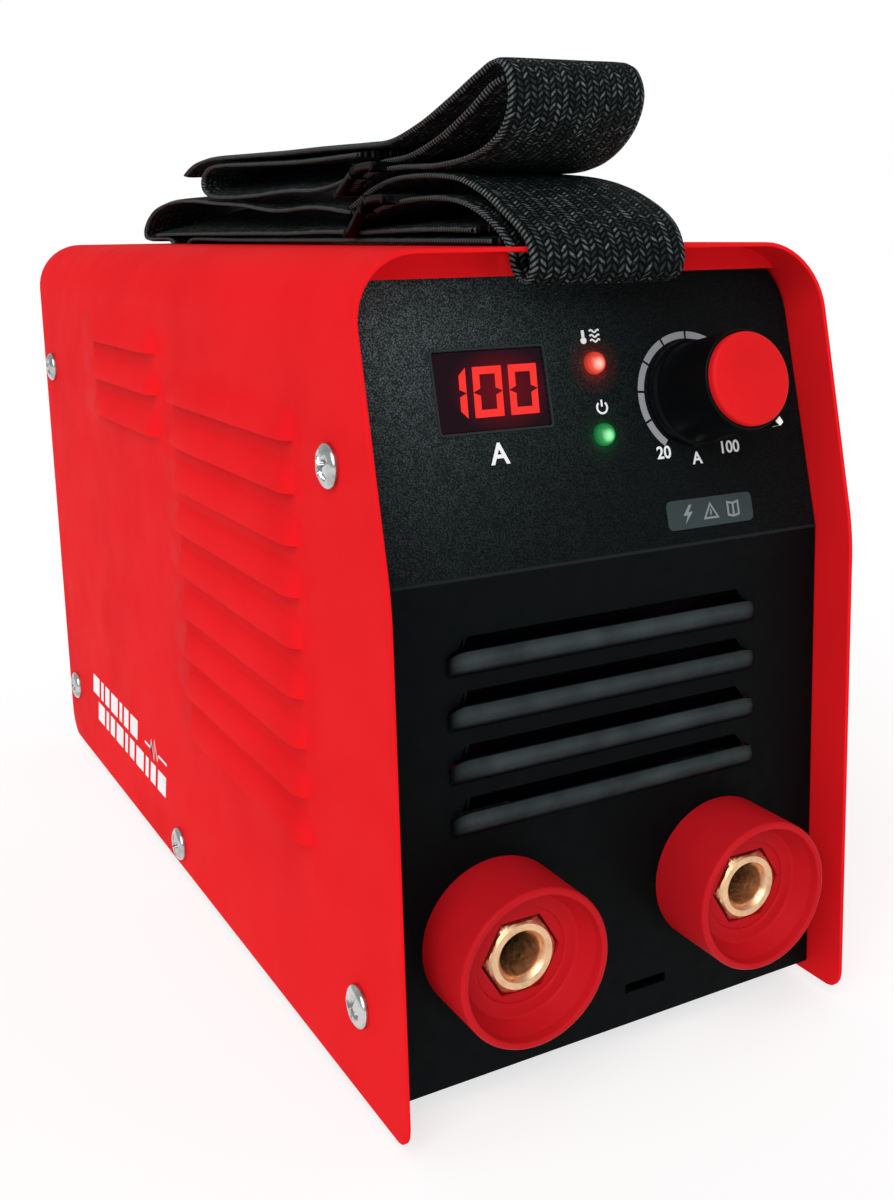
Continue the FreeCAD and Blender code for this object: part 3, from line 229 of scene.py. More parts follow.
def grained_plastic(name, dark, light):
    """Black moulding: a leather grain above the knee, with painted light on it that is paler high on the
    left, painted sheen on the vent bars, a painted highlight on the knee bead, and the two lamps' painted
    halos.
    """
    made = material(name, dark, 0.55, specular=0.05)
    place = place_of(made)
    x, y, z = node(made, "SeparateXYZ", Vector=place).outputs

    def rising(low, high):
        return span(made, z, at(0, 0, low).z, at(0, 0, high).z)

    cells = node(made, "TexVoronoi", Vector=place, Scale=GRAIN_SCALE, feature="F1")
    pebbles = ramp(made, cells.outputs["Distance"], ((0.12, 1.0), (0.62, 0.0)))
    patches = ramp(made, noise(made, 500, 4, 0.6), ((0.35, 0.45), (0.65, 1.0)))
    # sheen: the pebbles' pale centres, in random patches, painted as the sheen of the grain
    sheen = maths(made, "MULTIPLY_ADD", times(made, pebbles, patches), 0.88, 0.12)
    upper = rising(KNEE - 0.3, KNEE + 0.6)
    # Painted light: paler towards the left and up high, on the front only; shade is its share, and grain is
    # the painted sheen under it
    leftward = maths(made, "POWER", span(made, x, 0.035, -0.062), 2.1)
    high = maths(made, "POWER", rising(KNEE - 25, 165), 2.2)
    front = span(made, y, 0, -0.05)
    shade = maths(made, "MULTIPLY_ADD", times(made, leftward, high, front), 0.97, 0.03)
    grain = times(made, upper, shade, sheen)
    # Painted reflection: the vents' bars are paler the further they stand proud, in random mottled patches
    proud = span(made, y, at(0, PANEL_Y - 0.8, 0).y, at(0, PANEL_Y - 2.6, 0).y)
    bar_sheen_mottle = ramp(made, noise(made, 110, 5), ((0.3, 0.1), (0.75, 0.21)))
    bars = times(made, maths(made, "POWER", proud, 1.6), bar_sheen_mottle)
    # Painted highlight along the knee bead
    bead = times(made, rising(KNEE - 0.5, KNEE - 0.2), rising(KNEE + 0.5, KNEE + 0.2), 0.045, front)
    # lit: the painted light of the grain, the vent bars and the knee bead together
    lit = maths(made, "MAXIMUM", maths(made, "MAXIMUM", grain, bars), bead)
    drive(made, "Base Color", mix(made, lit, dark, light))
    drive(made, "Roughness", ramp(made, noise(made, 300, 4), ((0.3, 0.45), (0.7, 0.62))))
    bump(made, [(times(made, pebbles, upper), 0.0001), (noise(made, 1200, 4), 0.00003)])
    # Painted halos: the two lamps' light painted on the panel round them, as emission
    painted_halos = (0.0, 0.0, 0.0)
    for lamp, colour in LAMPS.items():
        away = distance_from(made, lamp_tip(lamp), [PAINTED_LAMP_HALO * MM] * 3)
        painted_halo = ramp(made, away, ((0.3, colour), (0.62, dimmed(colour, 0.15)), (1.0, (0.0, 0.0, 0.0))))
        painted_halos = mix(made, 1.0, painted_halos, painted_halo, "ADD")
    return emit(made, painted_halos, 0.5)


def moulded_plastic(name, colour, rough, coat=0.0, specular=0.25):
    made = material(name, colour, rough, coat=coat, specular=specular)
    worn(made, colour, dimmed(colour, 0.8), (rough - 0.05, rough + 0.1), 40)
    bump(made, [(noise(made, 1600, 3), 0.000015)])
    return made


def metal(name, colour, rough, stain=0.75):
    made = material(name, colour, rough, metal=1.0)
    worn(made, colour, dimmed(colour, stain), (rough * 0.8, rough * 1.5), 220)
    bump(made, [(noise(made, 2500, 4), 0.00001)])
    return made


def lamp_tip(node_name):
    """The foremost point of a lamp's dome."""
    low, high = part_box(node_name)
    radius = (high.x - low.x) / 2
    length = (high.y - low.y - 2 * radius * math.sin(PANEL_LEAN)) / math.cos(PANEL_LEAN)
    return (low + high) / 2 + PANEL_OUT * length / 2


def distance_from(made, place, scale):
    """How far each point is from a place, in units of the three half axes of scale."""
    away = place_of(made)
    for operation, value in (("SUBTRACT", place), ("DIVIDE", scale)):
        new = node(made, "VectorMath", operation=operation, Vector=away)
        new.inputs[1].default_value = value
        away = new.outputs["Vector"]
    return node(made, "VectorMath", operation="LENGTH", Vector=away).outputs["Value"]


def lamp_glow(name, rim, core, node_name):
    """A lens that is bright in its middle and coloured at its rim."""
    made = moulded_plastic(name, dimmed(rim, 0.3), 0.3, specular=0.3)
    away = distance_from(made, lamp_tip(node_name), [LAMP_CORE * MM] * 3)
    return emit(made, ramp(made, away, ((0.22, core), (0.55, rim), (1.0, dimmed(rim, 0.35)))))


def smoked_window(name):
    """A dark red window with painted light round the digits, as if lit from behind."""
    made = moulded_plastic(name, (0.004, 0.0015, 0.003), 0.25, specular=0.12)
    middle = on_panel(WINDOW_X + 2.4, WINDOW_RISE).translation
    away = distance_from(made, middle, (12.5 * MM, 11 * MM, 9.5 * MM))
    # Painted light on the lens: brightest round the digits and fading towards its edges, as emission
    painted_light_shades = ((0.25, (0.11, 0.0, 0.003)), (0.75, (0.035, 0.0, 0.003)), (1.0, (0.006, 0.0, 0.002)))
    return emit(made, ramp(made, away, painted_light_shades))


WEAVE_ACROSS, WEAVE_ALONG, SELVEDGE = 22, 1.25, 0.022


def webbing(name):
    """Herringbone webbing with painted glints on a few random yarns: UV x runs 0 to 1 across it, and UV y is
    the length along it in millimetres.
    """
    made = material(name, (0.004, 0.0045, 0.005), 0.6, specular=0.04, sheen=0.005)
    width, length, _ = node(made, "SeparateXYZ", Vector=place_of(made, "UV")).outputs
    wander = maths(made, "MULTIPLY_ADD", noise(made, 300, 3), 0.5, -0.25)
    columns = maths(made, "MULTIPLY_ADD", width, WEAVE_ACROSS, wander)
    inside = maths(made, "FRACT", columns)
    odd = maths(made, "MODULO", maths(made, "FLOOR", columns), 2.0)
    slant = times(made, maths(made, "SUBTRACT", inside, 0.5), maths(made, "MULTIPLY_ADD", odd, 2.0, -1.0))
    rows = maths(made, "ADD", maths(made, "DIVIDE", length, WEAVE_ALONG), maths(made, "ADD", slant, wander))
    across = maths(made, "POWER", maths(made, "SINE", times(made, inside, math.pi)), 0.5)
    along = maths(made, "SINE", times(made, maths(made, "FRACT", rows), math.pi))
    yarn = times(made, across, along)
    cell = node(made, "CombineXYZ", X=maths(made, "FLOOR", columns), Y=maths(made, "FLOOR", rows))
    chance = node(made, "TexWhiteNoise", noise_dimensions="3D", Vector=cell.outputs[0])
    fibres = noise(made, 2600, 4, 0.7)
    # Painted glints: a few yarns, picked at random, are painted pale where the fibres catch the light
    painted_glint_pick = maths(made, "MULTIPLY_ADD", maths(made, "POWER", chance.outputs["Value"], 2.2), 0.92, 0.08)
    painted_glint = times(made, ramp(made, fibres, ((0.4, 0.08), (0.7, 1.0))), painted_glint_pick)
    # lit is the painted glint colour of the yarns, from dark to pale
    lit = mix(made, painted_glint, (0.004, 0.007, 0.007), (0.3, 0.36, 0.36))
    woven = mix(made, ramp(made, yarn, ((0.4, 0.0), (0.95, 1.0))), (0.0015, 0.002, 0.0022), lit)
    from_middle = maths(made, "ABSOLUTE", maths(made, "SUBTRACT", width, 0.5))
    selvedge = maths(made, "GREATER_THAN", from_middle, 0.5 - SELVEDGE)
    edge = times(made, selvedge, ramp(made, along, ((0.5, 0.0), (0.9, 0.6))))
    drive(made, "Base Color", mix(made, edge, woven, (0.16, 0.19, 0.19)))
    drive(made, "Roughness", ramp(made, fibres, ((0.3, 0.5), (0.7, 0.8))))
    bump(made, [(yarn, 0.0004), (fibres, 0.00015)])
    return made


RED = painted_steel("red_powder_coat", (0.76, 0.011, 0.015), (0.66, 0.009, 0.013))
# The pale colour is the painted light on this moulding: sheen on the grain, the vent bars and the knee bead
BLACK_GRAIN = grained_plastic("black_grained_plastic", (0.0012, 0.0022, 0.0025), (0.22, 0.29, 0.295))
BLACK_SMOOTH = moulded_plastic("black_smooth_plastic", (0.0015, 0.002, 0.0025), 0.45, specular=0.08)
BLACK_GLOSS = moulded_plastic("black_gloss_plastic", (0.004, 0.004, 0.005), 0.25, specular=0.4)
RED_PLASTIC = moulded_plastic("red_socket_plastic", (0.48, 0.008, 0.013), 0.45, specular=0.05)
RED_CAP = moulded_plastic("red_cap_plastic", (0.70, 0.011, 0.014), 0.42, specular=0.05)
BRASS = metal("turned_brass", (0.84, 0.56, 0.33), 0.36)
CHROME = metal("bright_plating", (0.6, 0.63, 0.62), 0.16, stain=0.4)
ZINC = metal("zinc_plating", (0.55, 0.56, 0.57), 0.35)
ALUMINIUM = metal("aluminium", (0.72, 0.73, 0.74), 0.35)
COPPER = metal("copper", (0.8, 0.42, 0.28), 0.3)
BLACK_STEEL = painted_steel("black_powder_coat", (0.012, 0.012, 0.013), (0.02, 0.02, 0.021))
RUBBER = moulded_plastic("black_rubber", (0.01, 0.01, 0.01), 0.75, specular=0.3)
GREEN_BOARD = moulded_plastic("green_solder_resist", (0.015, 0.14, 0.05), 0.4)
DARK_CHIP = moulded_plastic("dark_epoxy", (0.015, 0.015, 0.016), 0.5)
FERRITE = moulded_plastic("ferrite", (0.05, 0.05, 0.055), 0.6)
SLEEVE = moulded_plastic("capacitor_sleeve", (0.01, 0.015, 0.06), 0.3)
GREY_FILM = moulded_plastic("grey_label_film", (0.034, 0.048, 0.05), 0.5, specular=0.1)
DARK_TRIM = moulded_plastic("dark_trim", (0.02, 0.025, 0.025), 0.5, specular=0.1)
WHITE_PRINT = moulded_plastic("white_print", (0.85, 0.86, 0.87), 0.5)
PALE_PRINT = moulded_plastic("pale_label_print", (0.2, 0.24, 0.245), 0.5)
GREY_PRINT = moulded_plastic("grey_scale_print", (0.3, 0.3, 0.32), 0.5)
SMOKED = smoked_window("smoked_window")
DIGIT_GLOW = emit(moulded_plastic("digit_glow", (0.1, 0.01, 0.01), 0.2, coat=0.5), (1.0, 0.012, 0.004), 0.92)
RED_GLOW = lamp_glow("red_lamp_glow", (0.7, 0.05, 0.03), (1.0, 0.6, 0.5), "overload_lamp")
GREEN_GLOW = lamp_glow("green_lamp_glow", (0.01, 0.22, 0.05), (0.4, 1.0, 0.5), "power_lamp")
WEBBING = webbing("black_webbing")


# ---------------- mesh helpers
MERGE = 0.004


def piece(name, vertices, faces, skin, slot, body="chassis", replaces=(), sharp=35):
    """A shown mesh in the frame, with smooth shading broken at edges sharper than sharp degrees."""
    mesh = bpy.data.meshes.new(name)
    mesh.from_pydata([tuple(v) for v in vertices], [], faces)
    made = bmesh.new()
    made.from_mesh(mesh)
    bmesh.ops.remove_doubles(made, verts=made.verts, dist=MERGE * MM)
    bmesh.ops.recalc_face_normals(made, faces=made.faces)
    for face in made.faces:
        face.smooth = True
    for edge in made.edges:
        if len(edge.link_faces) == 2 and edge.calc_face_angle() > math.radians(sharp):
            edge.smooth = False
    made.to_mesh(mesh)
    made.free()
    return show(mesh, name, skin, body, replaces)


def show(mesh, name, skin, body="chassis", replaces=()):
    obj = bpy.data.objects.new(name, mesh)
    bpy.context.scene.collection.objects.link(obj)
    mesh.materials.clear()
    mesh.materials.append(skin)
    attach(obj, body)
    if replaces:
        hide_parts(*replaces)
    return obj


def bevelled(obj, width, angle=30, segments=2):
    """Rounds a mesh's sharp edges by width millimetres."""
    modifier = obj.modifiers.new("rounded_edges", "BEVEL")
    modifier.width = width * MM
    modifier.segments = segments
    modifier.limit_method = "ANGLE"
    modifier.angle_limit = math.radians(angle)
    modifier.harden_normals = True
    return obj


def thickened(obj, thickness, even=False):
    """Gives a sheet its thickness in millimetres, inwards."""
    modifier = obj.modifiers.new("sheet_thickness", "SOLIDIFY")
    modifier.thickness = thickness * MM
    modifier.offset = -1
    modifier.use_even_offset = even
    return obj


def fillet(points, steps=5):
    """Rounds the corners of a closed outline. Each point is (x, y) or (x, y, radius)."""
    rounded = []
    count = len(points)
    for index, point in enumerate(points):
        here = Vector(point[:2])
        radius = point[2] if len(point) > 2 else 0
        before = (Vector(points[index - 1][:2]) - here).normalized()
        after = (Vector(points[(index + 1) % count][:2]) - here).normalized()
        if radius == 0:
            rounded.append(here)
            continue
        half = before.angle(after) / 2
        reach = radius / math.tan(half)
        centre = here + (before + after).normalized() * radius / math.sin(half)
        start = here + before * reach - centre
        turn = start.angle_signed(here + after * reach - centre)
        rounded += [centre + Matrix.Rotation(-turn * i / steps, 2) @ start for i in range(steps + 1)]
    return rounded


def rectangle(width, height, radius=0):
    x, y = width / 2, height / 2
    return [(-x, -y, radius), (x, -y, radius), (x, y, radius), (-x, y, radius)]


def circle(radius, count):
    turns = [2 * math.pi * i / count for i in range(count)]
    return [(radius * math.cos(turn), radius * math.sin(turn)) for turn in turns]


def shape_of(loops, low, high, matrix):
    """Vertices and faces of a flat plate: the first loop is its outside and the others are holes."""
    flat = [[Vector((p[0], p[1], 0)) for p in loop] for loop in loops]
    triangles = tessellate_polygon(flat)
    points = [p for loop in flat for p in loop]
    count = len(points)
    vertices = [matrix @ Vector((p.x, p.y, z)) for z in (low, high) for p in points]
    faces = [tuple(t) for t in triangles] + [tuple(i + count for i in reversed(t)) for t in triangles]
    start = 0
    for loop in flat:
        for i in range(len(loop)):
            a, b = start + i, start + (i + 1) % len(loop)
            faces.append((a, b, b + count, a + count))
        start += len(loop)
    return vertices, faces


def joined(shapes):
    """Several (vertices, faces) as one."""
    vertices, faces = [], []
    for points, sides in shapes:
        offset = len(vertices)
        vertices += points
        faces += [tuple(i + offset for i in side) for side in sides]
    return vertices, faces


def lathe(profile, matrix, count):
    """Turns a closed outline of (radius, height) about z. A radius may be a function of the angle."""
    vertices, faces = [], []
    for radius, height in profile:
        for i in range(count):
            angle = 2 * math.pi * i / count
            r = radius(angle) if callable(radius) else radius
            vertices.append(matrix @ Vector((r * math.cos(angle), r * math.sin(angle), height)))
    rings = len(profile)
    for ring in range(rings):
        low, high = ring * count, (ring + 1) % rings * count
        for i in range(count):
            j = (i + 1) % count
            faces.append((low + i, low + j, high + j, high + i))
    return vertices, faces


def hexagon(flats, limit=1e9):
    """The radius of a hexagon with a corner on top, cut off at a limit, as a function of the angle."""
    def radius(angle):
        turned = (angle % (math.pi / 3)) - math.pi / 6
        return min(flats / 2 / math.cos(turned), limit)
    return radius


def grid(rows):
    """The vertices of rows of places, all as long, and the faces between them."""
    width = len(rows[0])
    vertices = [v for row in rows for v in row]
    faces = [(r * width + c, r * width + c + 1, (r + 1) * width + c + 1, (r + 1) * width + c)
             for r in range(len(rows) - 1) for c in range(width - 1)]
    return vertices, faces


def smoothly(value):
    value = min(max(value, 0), 1)
    return value * value * (3 - 2 * value)


# ---------------- cover
LOUVER_LOWEST, LOUVER_PITCH, LOUVER_HEIGHT, LOUVER_REACH = 48.3, 11.45, 7.5, 2.5
LOUVER_STEPS = (0, 0.12, 0.26, 0.42, 0.6, 0.78, 0.92, 1)
LOUVERS = 10
LOUVER_BANKS = ((46, 137, range(9)), (150, 222, range(7, LOUVERS)))
LOUVER_ENDS = (0, 0.5, 1.2, 2.2, 3.6, 5.4)
STRAP_SLOTS = ((18.3, 23.3), (246, 251), (259, 264))
SLOT_HALF, BEND_STEPS = 21, 12
TOP_EDGE_Y = (HEIGHT - KNEE) * math.tan(EDGE_LEAN)
KNEE_RADIUS, FRONT_FOOT, REAR_FOOT = 60, 5, 9
FRONT_STRIP = 40
HEM_Y, HEM_WIDTH, ANGLE_Y, ANGLE_LEG, ANGLE_GAP = 16.1, 4.6, 25, 5, 0.1


def cover_front(z):
    """Where the cover's front edge stands at a height."""
    reach = KNEE_RADIUS * math.tan(EDGE_LEAN / 2)
    if z < FRONT_FOOT:
        return FRONT_FOOT - math.sqrt(FRONT_FOOT ** 2 - (FRONT_FOOT - z) ** 2)
    if z < KNEE - reach:
        return 0
    if z < KNEE + reach:
        return (z - KNEE + reach) ** 2 / (2 * KNEE_RADIUS)
    return (z - KNEE) * math.tan(EDGE_LEAN)


def cover_rear(z):
    if z < REAR_FOOT:
        return DEPTH - REAR_FOOT + math.sqrt(REAR_FOOT ** 2 - (REAR_FOOT - z) ** 2)
    return DEPTH


def louver_bulge(y, z):
    """How far the side wall is pressed out, just above z."""
    for start, end, indexes in LOUVER_BANKS:
        inset = min(y - start, end - y)
        if inset <= 0:
            continue
        for index in indexes:
            share = (z - LOUVER_LOWEST - index * LOUVER_PITCH) / LOUVER_HEIGHT
            if -TINY <= share <= 1:
                ends = math.sin(math.pi / 2 * min(inset / LOUVER_ENDS[-1], 1)) ** 0.8
                return LOUVER_REACH * ends * math.cos(math.pi / 2 * share) ** 0.9
    return 0


def cover_columns():
    """Stations from front to rear: shares of the front strip, then distances in millimetres."""
    strip = [0, (STRAP_SLOTS[0][0] - TOP_EDGE_Y) / (FRONT_STRIP - TOP_EDGE_Y),
             (STRAP_SLOTS[0][1] - TOP_EDGE_Y) / (FRONT_STRIP - TOP_EDGE_Y), 0.55, 0.78]
    fixed = {FRONT_STRIP, 238, *[y for slot in STRAP_SLOTS[1:] for y in slot], 275}
    for start, end, _ in LOUVER_BANKS:
        fixed |= {start + s for s in LOUVER_ENDS} | {end - s for s in LOUVER_ENDS}
        fixed |= {start + (end - start) * share for share in (0.25, 0.5, 0.75)}
    return strip, sorted(fixed)


def cover_stations():
    """The cover's section from the left foot over the top to the right: (x, z, out, pressed) in order.

    A louver's lowest height comes twice, flat and then pressed, and the gap between them is its opening.
    """
    heights = {0, 0.6, 1.6, 3, 5, 7, 9, 16, 26, 36, KNEE - 6.4, KNEE - 3.2, KNEE, KNEE + 3.2, KNEE + 6.4, 158}
    lips = {LOUVER_LOWEST + index * LOUVER_PITCH for index in range(LOUVERS)}
    for lip in lips:
        heights |= {lip + share * LOUVER_HEIGHT for share in LOUVER_STEPS}
    wall = []
    for z in sorted(heights | {HEIGHT - BEND}):
        if z in lips:
            wall.append((z, False))
        wall.append((z, True))
    left = [(-WIDTH / 2, z, Vector((-1, 0, 0)), pressed) for z, pressed in wall]
    bend = []
    for i in range(1, BEND_STEPS + 1):
        angle = math.pi / 2 * i / BEND_STEPS
        out = Vector((-math.cos(angle), 0, math.sin(angle)))
        bend.append((-WIDTH / 2 + BEND + BEND * out.x, HEIGHT - BEND + BEND * out.z, out, True))
    half = left + bend
    middle = [(x, HEIGHT, UP, True) for x in (-32, -SLOT_HALF, -10, 0, 10, SLOT_HALF, 32)]
    mirrored = [(-x, z, Vector((-out.x, 0, out.z)), pressed) for x, z, out, pressed in reversed(half)]
    return half + middle + mirrored


def cover_shell():
    """The folded sheet: side walls with pressed louvers that open downwards, round bends and strap slots."""
    strip, fixed = cover_columns()
    rows, spots = [], []
    for x, z, out, pressed in cover_stations():
        front, rear = cover_front(z), cover_rear(z)
        ys = [front + share * (FRONT_STRIP - front) for share in strip] + fixed
        ys += [rear - step for step in (9, 4, 0)]
        flat_wall = abs(abs(x) - WIDTH / 2) < TINY
        row = []
        for y in ys:
            bulge = louver_bulge(y, z + 10 * TINY) if pressed and flat_wall else 0
            row.append(at(x, y, z) + out * bulge * MM)
        rows.append(row)
        spots.append((x, z, ys))
    vertices, faces = grid(rows)
    width = len(rows[0])
    kept = []
    for index, face in enumerate(faces):
        row, column = divmod(index, width - 1)
        (x, z, ys), (next_x, next_z, _) = spots[row:row + 2]
        middle_x, middle_y = (x + next_x) / 2, (ys[column] + ys[column + 1]) / 2
        lip_gap = abs(z - next_z) < TINY and abs(x - next_x) < TINY
        in_slot = z == HEIGHT and abs(middle_x) < SLOT_HALF and any(a < middle_y < b for a, b in STRAP_SLOTS)
        if not lip_gap and not in_slot:
            kept.append(face)
    return vertices, kept


def stiffeners():
    """The folded hem under the front bar, and the angle behind its slot, whose ends fit the cover's bends."""
    hem = shape_of([rectangle(2 * SLOT_HALF, HEM_WIDTH)], -SHEET, -SHEET - 0.05,
                   axes(at(0, HEM_Y, HEIGHT), RIGHT, BACK))
    inside = BEND - SHEET - ANGLE_GAP
    start = math.asin(1 - ANGLE_LEG / inside)
    turns = [start + (math.pi / 2 - start) * step / 8 for step in range(9)]
    right = [(WIDTH / 2 - BEND + inside * math.cos(turn), inside * (math.sin(turn) - 1)) for turn in turns]
    left = [(-x, y) for x, y in reversed(right)]
    leg = shape_of([right + left], -0.5, 0.5, axes(at(0, ANGLE_Y, HEIGHT - SHEET - ANGLE_GAP), RIGHT, UP))
    return [hem, leg]


def make_cover():
    shell = piece("cover_shell", *cover_shell(), RED, "cover_paint", replaces=["cover"], sharp=50)
    bevelled(thickened(shell, SHEET, even=True), 0.3, 50)
    piece("cover_stiffeners", *joined(stiffeners()), RED, "cover_paint")


# ---------------- front panel
PANEL_SHIFT = -1.2
PANEL_HALF, PANEL_BEND, FLANGE = WIDTH / 2 - SHEET - 0.3, BEND - SHEET - 0.3, 18
SCOOP_FIRST, SCOOP_PITCH, SCOOP_RISE, SCOOP_REACH, SCOOP_SLOT, SCOOP_SPAN = 59.2, 11.55, 5.6, 2.5, 8.2, 79
SCOOP_LEFT, SCOOP_RIGHT = PANEL_SHIFT - SCOOP_SPAN / 2, PANEL_SHIFT + SCOOP_SPAN / 2
SCOOPS = range(4)
SCOOP_STEPS = (0, 0.05, 0.12, 0.22, 0.36, 0.7, 0.88, 0.96, 1)
SCOOP_ENDS = (0, 0.35, 0.9, 1.7, 2.8, 5)
SCOOP_ROUND, SCOOP_DROP = 4.2, 2.4
BLADE_MIDDLE, BLADE_DEEP, BLADE_SLOPE = (4.6, 5.2), 11, -0.95
KNEE_BEAD, KNEE_BEAD_HALF = 0.14, 0.4
TAB_SLOT = (2.5, 13.5, 11, 13.2)


def panel_point(x, z, out):
    """A point of the panel's face at a height above the cover's bottom edge."""
    if z <= KNEE:
        return at(x, PANEL_Y - out, z)
    y = PANEL_Y + (z - KNEE) * math.tan(PANEL_LEAN)
    return at(x, y, z) + PANEL_OUT * out * MM


def scoop_fullness(x):
    """0 beyond a vent bar's tip, 1 along its straight part, and round between them."""
    inset = min(max(min(x - SCOOP_LEFT, SCOOP_RIGHT - x), 0) / SCOOP_ROUND, 1)
    return math.sqrt(1 - (1 - inset) ** 2)


def scoop_share(z):
    """How far up the nearest vent's bar a height is, from 0 at its foot to 1 at its lip."""
    index = min(max(int((z - SCOOP_FIRST + TINY) // SCOOP_PITCH), 0), SCOOPS[-1])
    return min(max((z - SCOOP_FIRST - index * SCOOP_PITCH) / SCOOP_RISE, 0), 1)


def scoop_bulge(x, z):
    """How far a vent's bar stands out of the panel at a place on it."""
    share = scoop_share(z)
    roll = 1 - 0.2 * smoothly((share - 0.72) / 0.28)
    return SCOOP_REACH * scoop_fullness(x) * roll * math.sin(math.pi / 2 * min(share * 1.7, 1)) ** 0.9


def panel_rows():
    """Rows up the panel as (z, kind). A row is on the face, a bar or the bead, or at a slot's foot.

    A slot's foot is at the height of the bar's lip in front of it, so it is sorted after the bar.
    """
    rise = math.cos(PANEL_LEAN)
    plain = {PANEL_FLOOR, 30, 50, KNEE - KNEE_BEAD_HALF, KNEE + KNEE_BEAD_HALF, KNEE + 12, PANEL_TOP}
    plain |= {TAB_SLOT[2], TAB_SLOT[3]}
    plain |= {KNEE + (WINDOW_RISE + side * WINDOW_H / 2) * rise for side in SIDES}
    plain |= {PANEL_TOP - PANEL_BEND * (1 - math.sin(math.pi / 2 * i / 8)) for i in range(8)}
    rows = [(z, 0, "face") for z in plain] + [(KNEE, 0, "bead")]
    for index in SCOOPS:
        low = SCOOP_FIRST + index * SCOOP_PITCH
        rows += [(low + share * SCOOP_RISE, 0, "bar") for share in SCOOP_STEPS]
        rows += [(low + SCOOP_RISE, 1, "foot"), (low + SCOOP_SLOT, 0, "face")]
    return [(z, kind) for z, _, kind in sorted(rows)]


def panel_columns():
    columns = {-PANEL_HALF, -50, -45, 0, 20, 45, 50, PANEL_HALF, TAB_SLOT[0], TAB_SLOT[1]}
    columns |= {SCOOP_LEFT + s for s in SCOOP_ENDS} | {SCOOP_RIGHT - s for s in SCOOP_ENDS}
    columns |= {WINDOW_X + side * WINDOW_W / 2 for side in SIDES}
    return sorted(columns)


def panel_half_width(z):
    """The panel's half width at a height: it follows the cover's round bends."""
    over = max(z - (PANEL_TOP - PANEL_BEND), 0)
    return PANEL_HALF - PANEL_BEND + math.sqrt(max(PANEL_BEND ** 2 - over ** 2, 0))


def panel_vertices(columns, rows):
    vertices = []
    for z, kind in rows:
        limit = panel_half_width(z)
        for x in columns:
            place = math.copysign(limit, x) if abs(x) == PANEL_HALF else max(-limit, min(limit, x))
            reach = {"bar": scoop_bulge(x, z), "bead": KNEE_BEAD}.get(kind, 0)
            near = SCOOP_LEFT - 1 < x < SCOOP_RIGHT + 1 and kind in ("bar", "foot")
            drop = SCOOP_DROP * (1 - scoop_fullness(x)) * scoop_share(z) if near else 0
            vertices.append(panel_point(place, z - drop, reach))
    return vertices


def panel_faces(columns, rows):
    """The grid's faces, without the window, the tab's slot and the vents, whose slots have slanted ends."""
    width = len(columns)
    slot_low, slot_high = SCOOP_LEFT + SCOOP_ENDS[-2], SCOOP_RIGHT - SCOOP_ENDS[-2]
    full_low, full_high = SCOOP_LEFT + SCOOP_ENDS[-1], SCOOP_RIGHT - SCOOP_ENDS[-1]
    rise = math.cos(PANEL_LEAN)
    window_z, window_half = KNEE + WINDOW_RISE * rise, WINDOW_H / 2 * rise
    faces = []
    for r in range(len(rows) - 1):
        for c in range(width - 1):
            x, z = (columns[c] + columns[c + 1]) / 2, (rows[r][0] + rows[r + 1][0]) / 2
            low, high = r * width + c, (r + 1) * width + c
            in_window = abs(x - WINDOW_X) < WINDOW_W / 2 and abs(z - window_z) < window_half
            in_tab = TAB_SLOT[0] < x < TAB_SLOT[1] and TAB_SLOT[2] < z < TAB_SLOT[3]
            behind_lip = rows[r + 1][1] == "foot" and SCOOP_LEFT < x < SCOOP_RIGHT
            if in_window or in_tab or behind_lip:
                continue
            if rows[r][1] != "foot" or not slot_low < x < slot_high:
                faces.append((low, low + 1, high + 1, high))
            elif x < full_low:
                faces.append((low, high + 1, high))
            elif x > full_high:
                faces.append((low + 1, high + 1, high))
    return faces


def panel_rim(columns, rows):
    """The grid's outer vertices, in order round the panel."""
    width, height = len(columns), len(rows)
    rim = [(0, c) for c in range(width - 1)] + [(r, width - 1) for r in range(height - 1)]
    rim += [(height - 1, c) for c in range(width - 1, 0, -1)] + [(r, 0) for r in range(height - 1, 0, -1)]
    return [r * width + c for r, c in rim]


def make_front_panel():
    """The moulded face with its openings, the rim that runs back inside the cover, and black blades behind
    the vents' slots: moulded hoods that also stand in for the dark shade inside the case.
    """
    columns, rows = panel_columns(), panel_rows()
    vertices, faces = panel_vertices(columns, rows), panel_faces(columns, rows)
    rim, count = panel_rim(columns, rows), len(vertices)
    vertices += [vertices[i] + BACK * FLANGE * MM for i in rim]
    for i, front in enumerate(rim):
        j = (i + 1) % len(rim)
        faces.append((front, rim[j], count + j, count + i))
    panel = piece("front_panel_moulding", vertices, faces, BLACK_GRAIN, "panel_plastic",
                  replaces=["front_panel"], sharp=40)
    bevelled(thickened(panel, PANEL_WALL), 0.3, 40)
    # Black blades behind the slots, put there to keep the slots as dark as the shade inside the case
    slope = Vector((0, 1, BLADE_SLOPE)).normalized()
    back, lift = BLADE_MIDDLE
    blades = []
    for index in SCOOPS:
        middle = axes(at(PANEL_SHIFT, PANEL_Y + back, SCOOP_FIRST + index * SCOOP_PITCH + lift), RIGHT, slope)
        blades.append(shape_of([rectangle(SCOOP_SPAN + 6, BLADE_DEEP)], -0.5, 0.5, middle))
    piece("vent_shade_blades", *joined(blades), BLACK_SMOOTH, "panel_plastic")


# ---------------- control panel details
PRINT, LABEL_THICK = 0.04, 0.25
DIGIT_WIDTH, DIGIT_HEIGHT, DIGIT_STROKE, DIGIT_GAP, DIGIT_SLANT, DIGIT_PITCH = 6.8, 10.6, 1.6, 0.03, 0.06, 8.4
DIGIT_X, DIGIT_DROP = -0.9, -0.3
DIGITS = {"1": "bc", "0": "abcdef"}


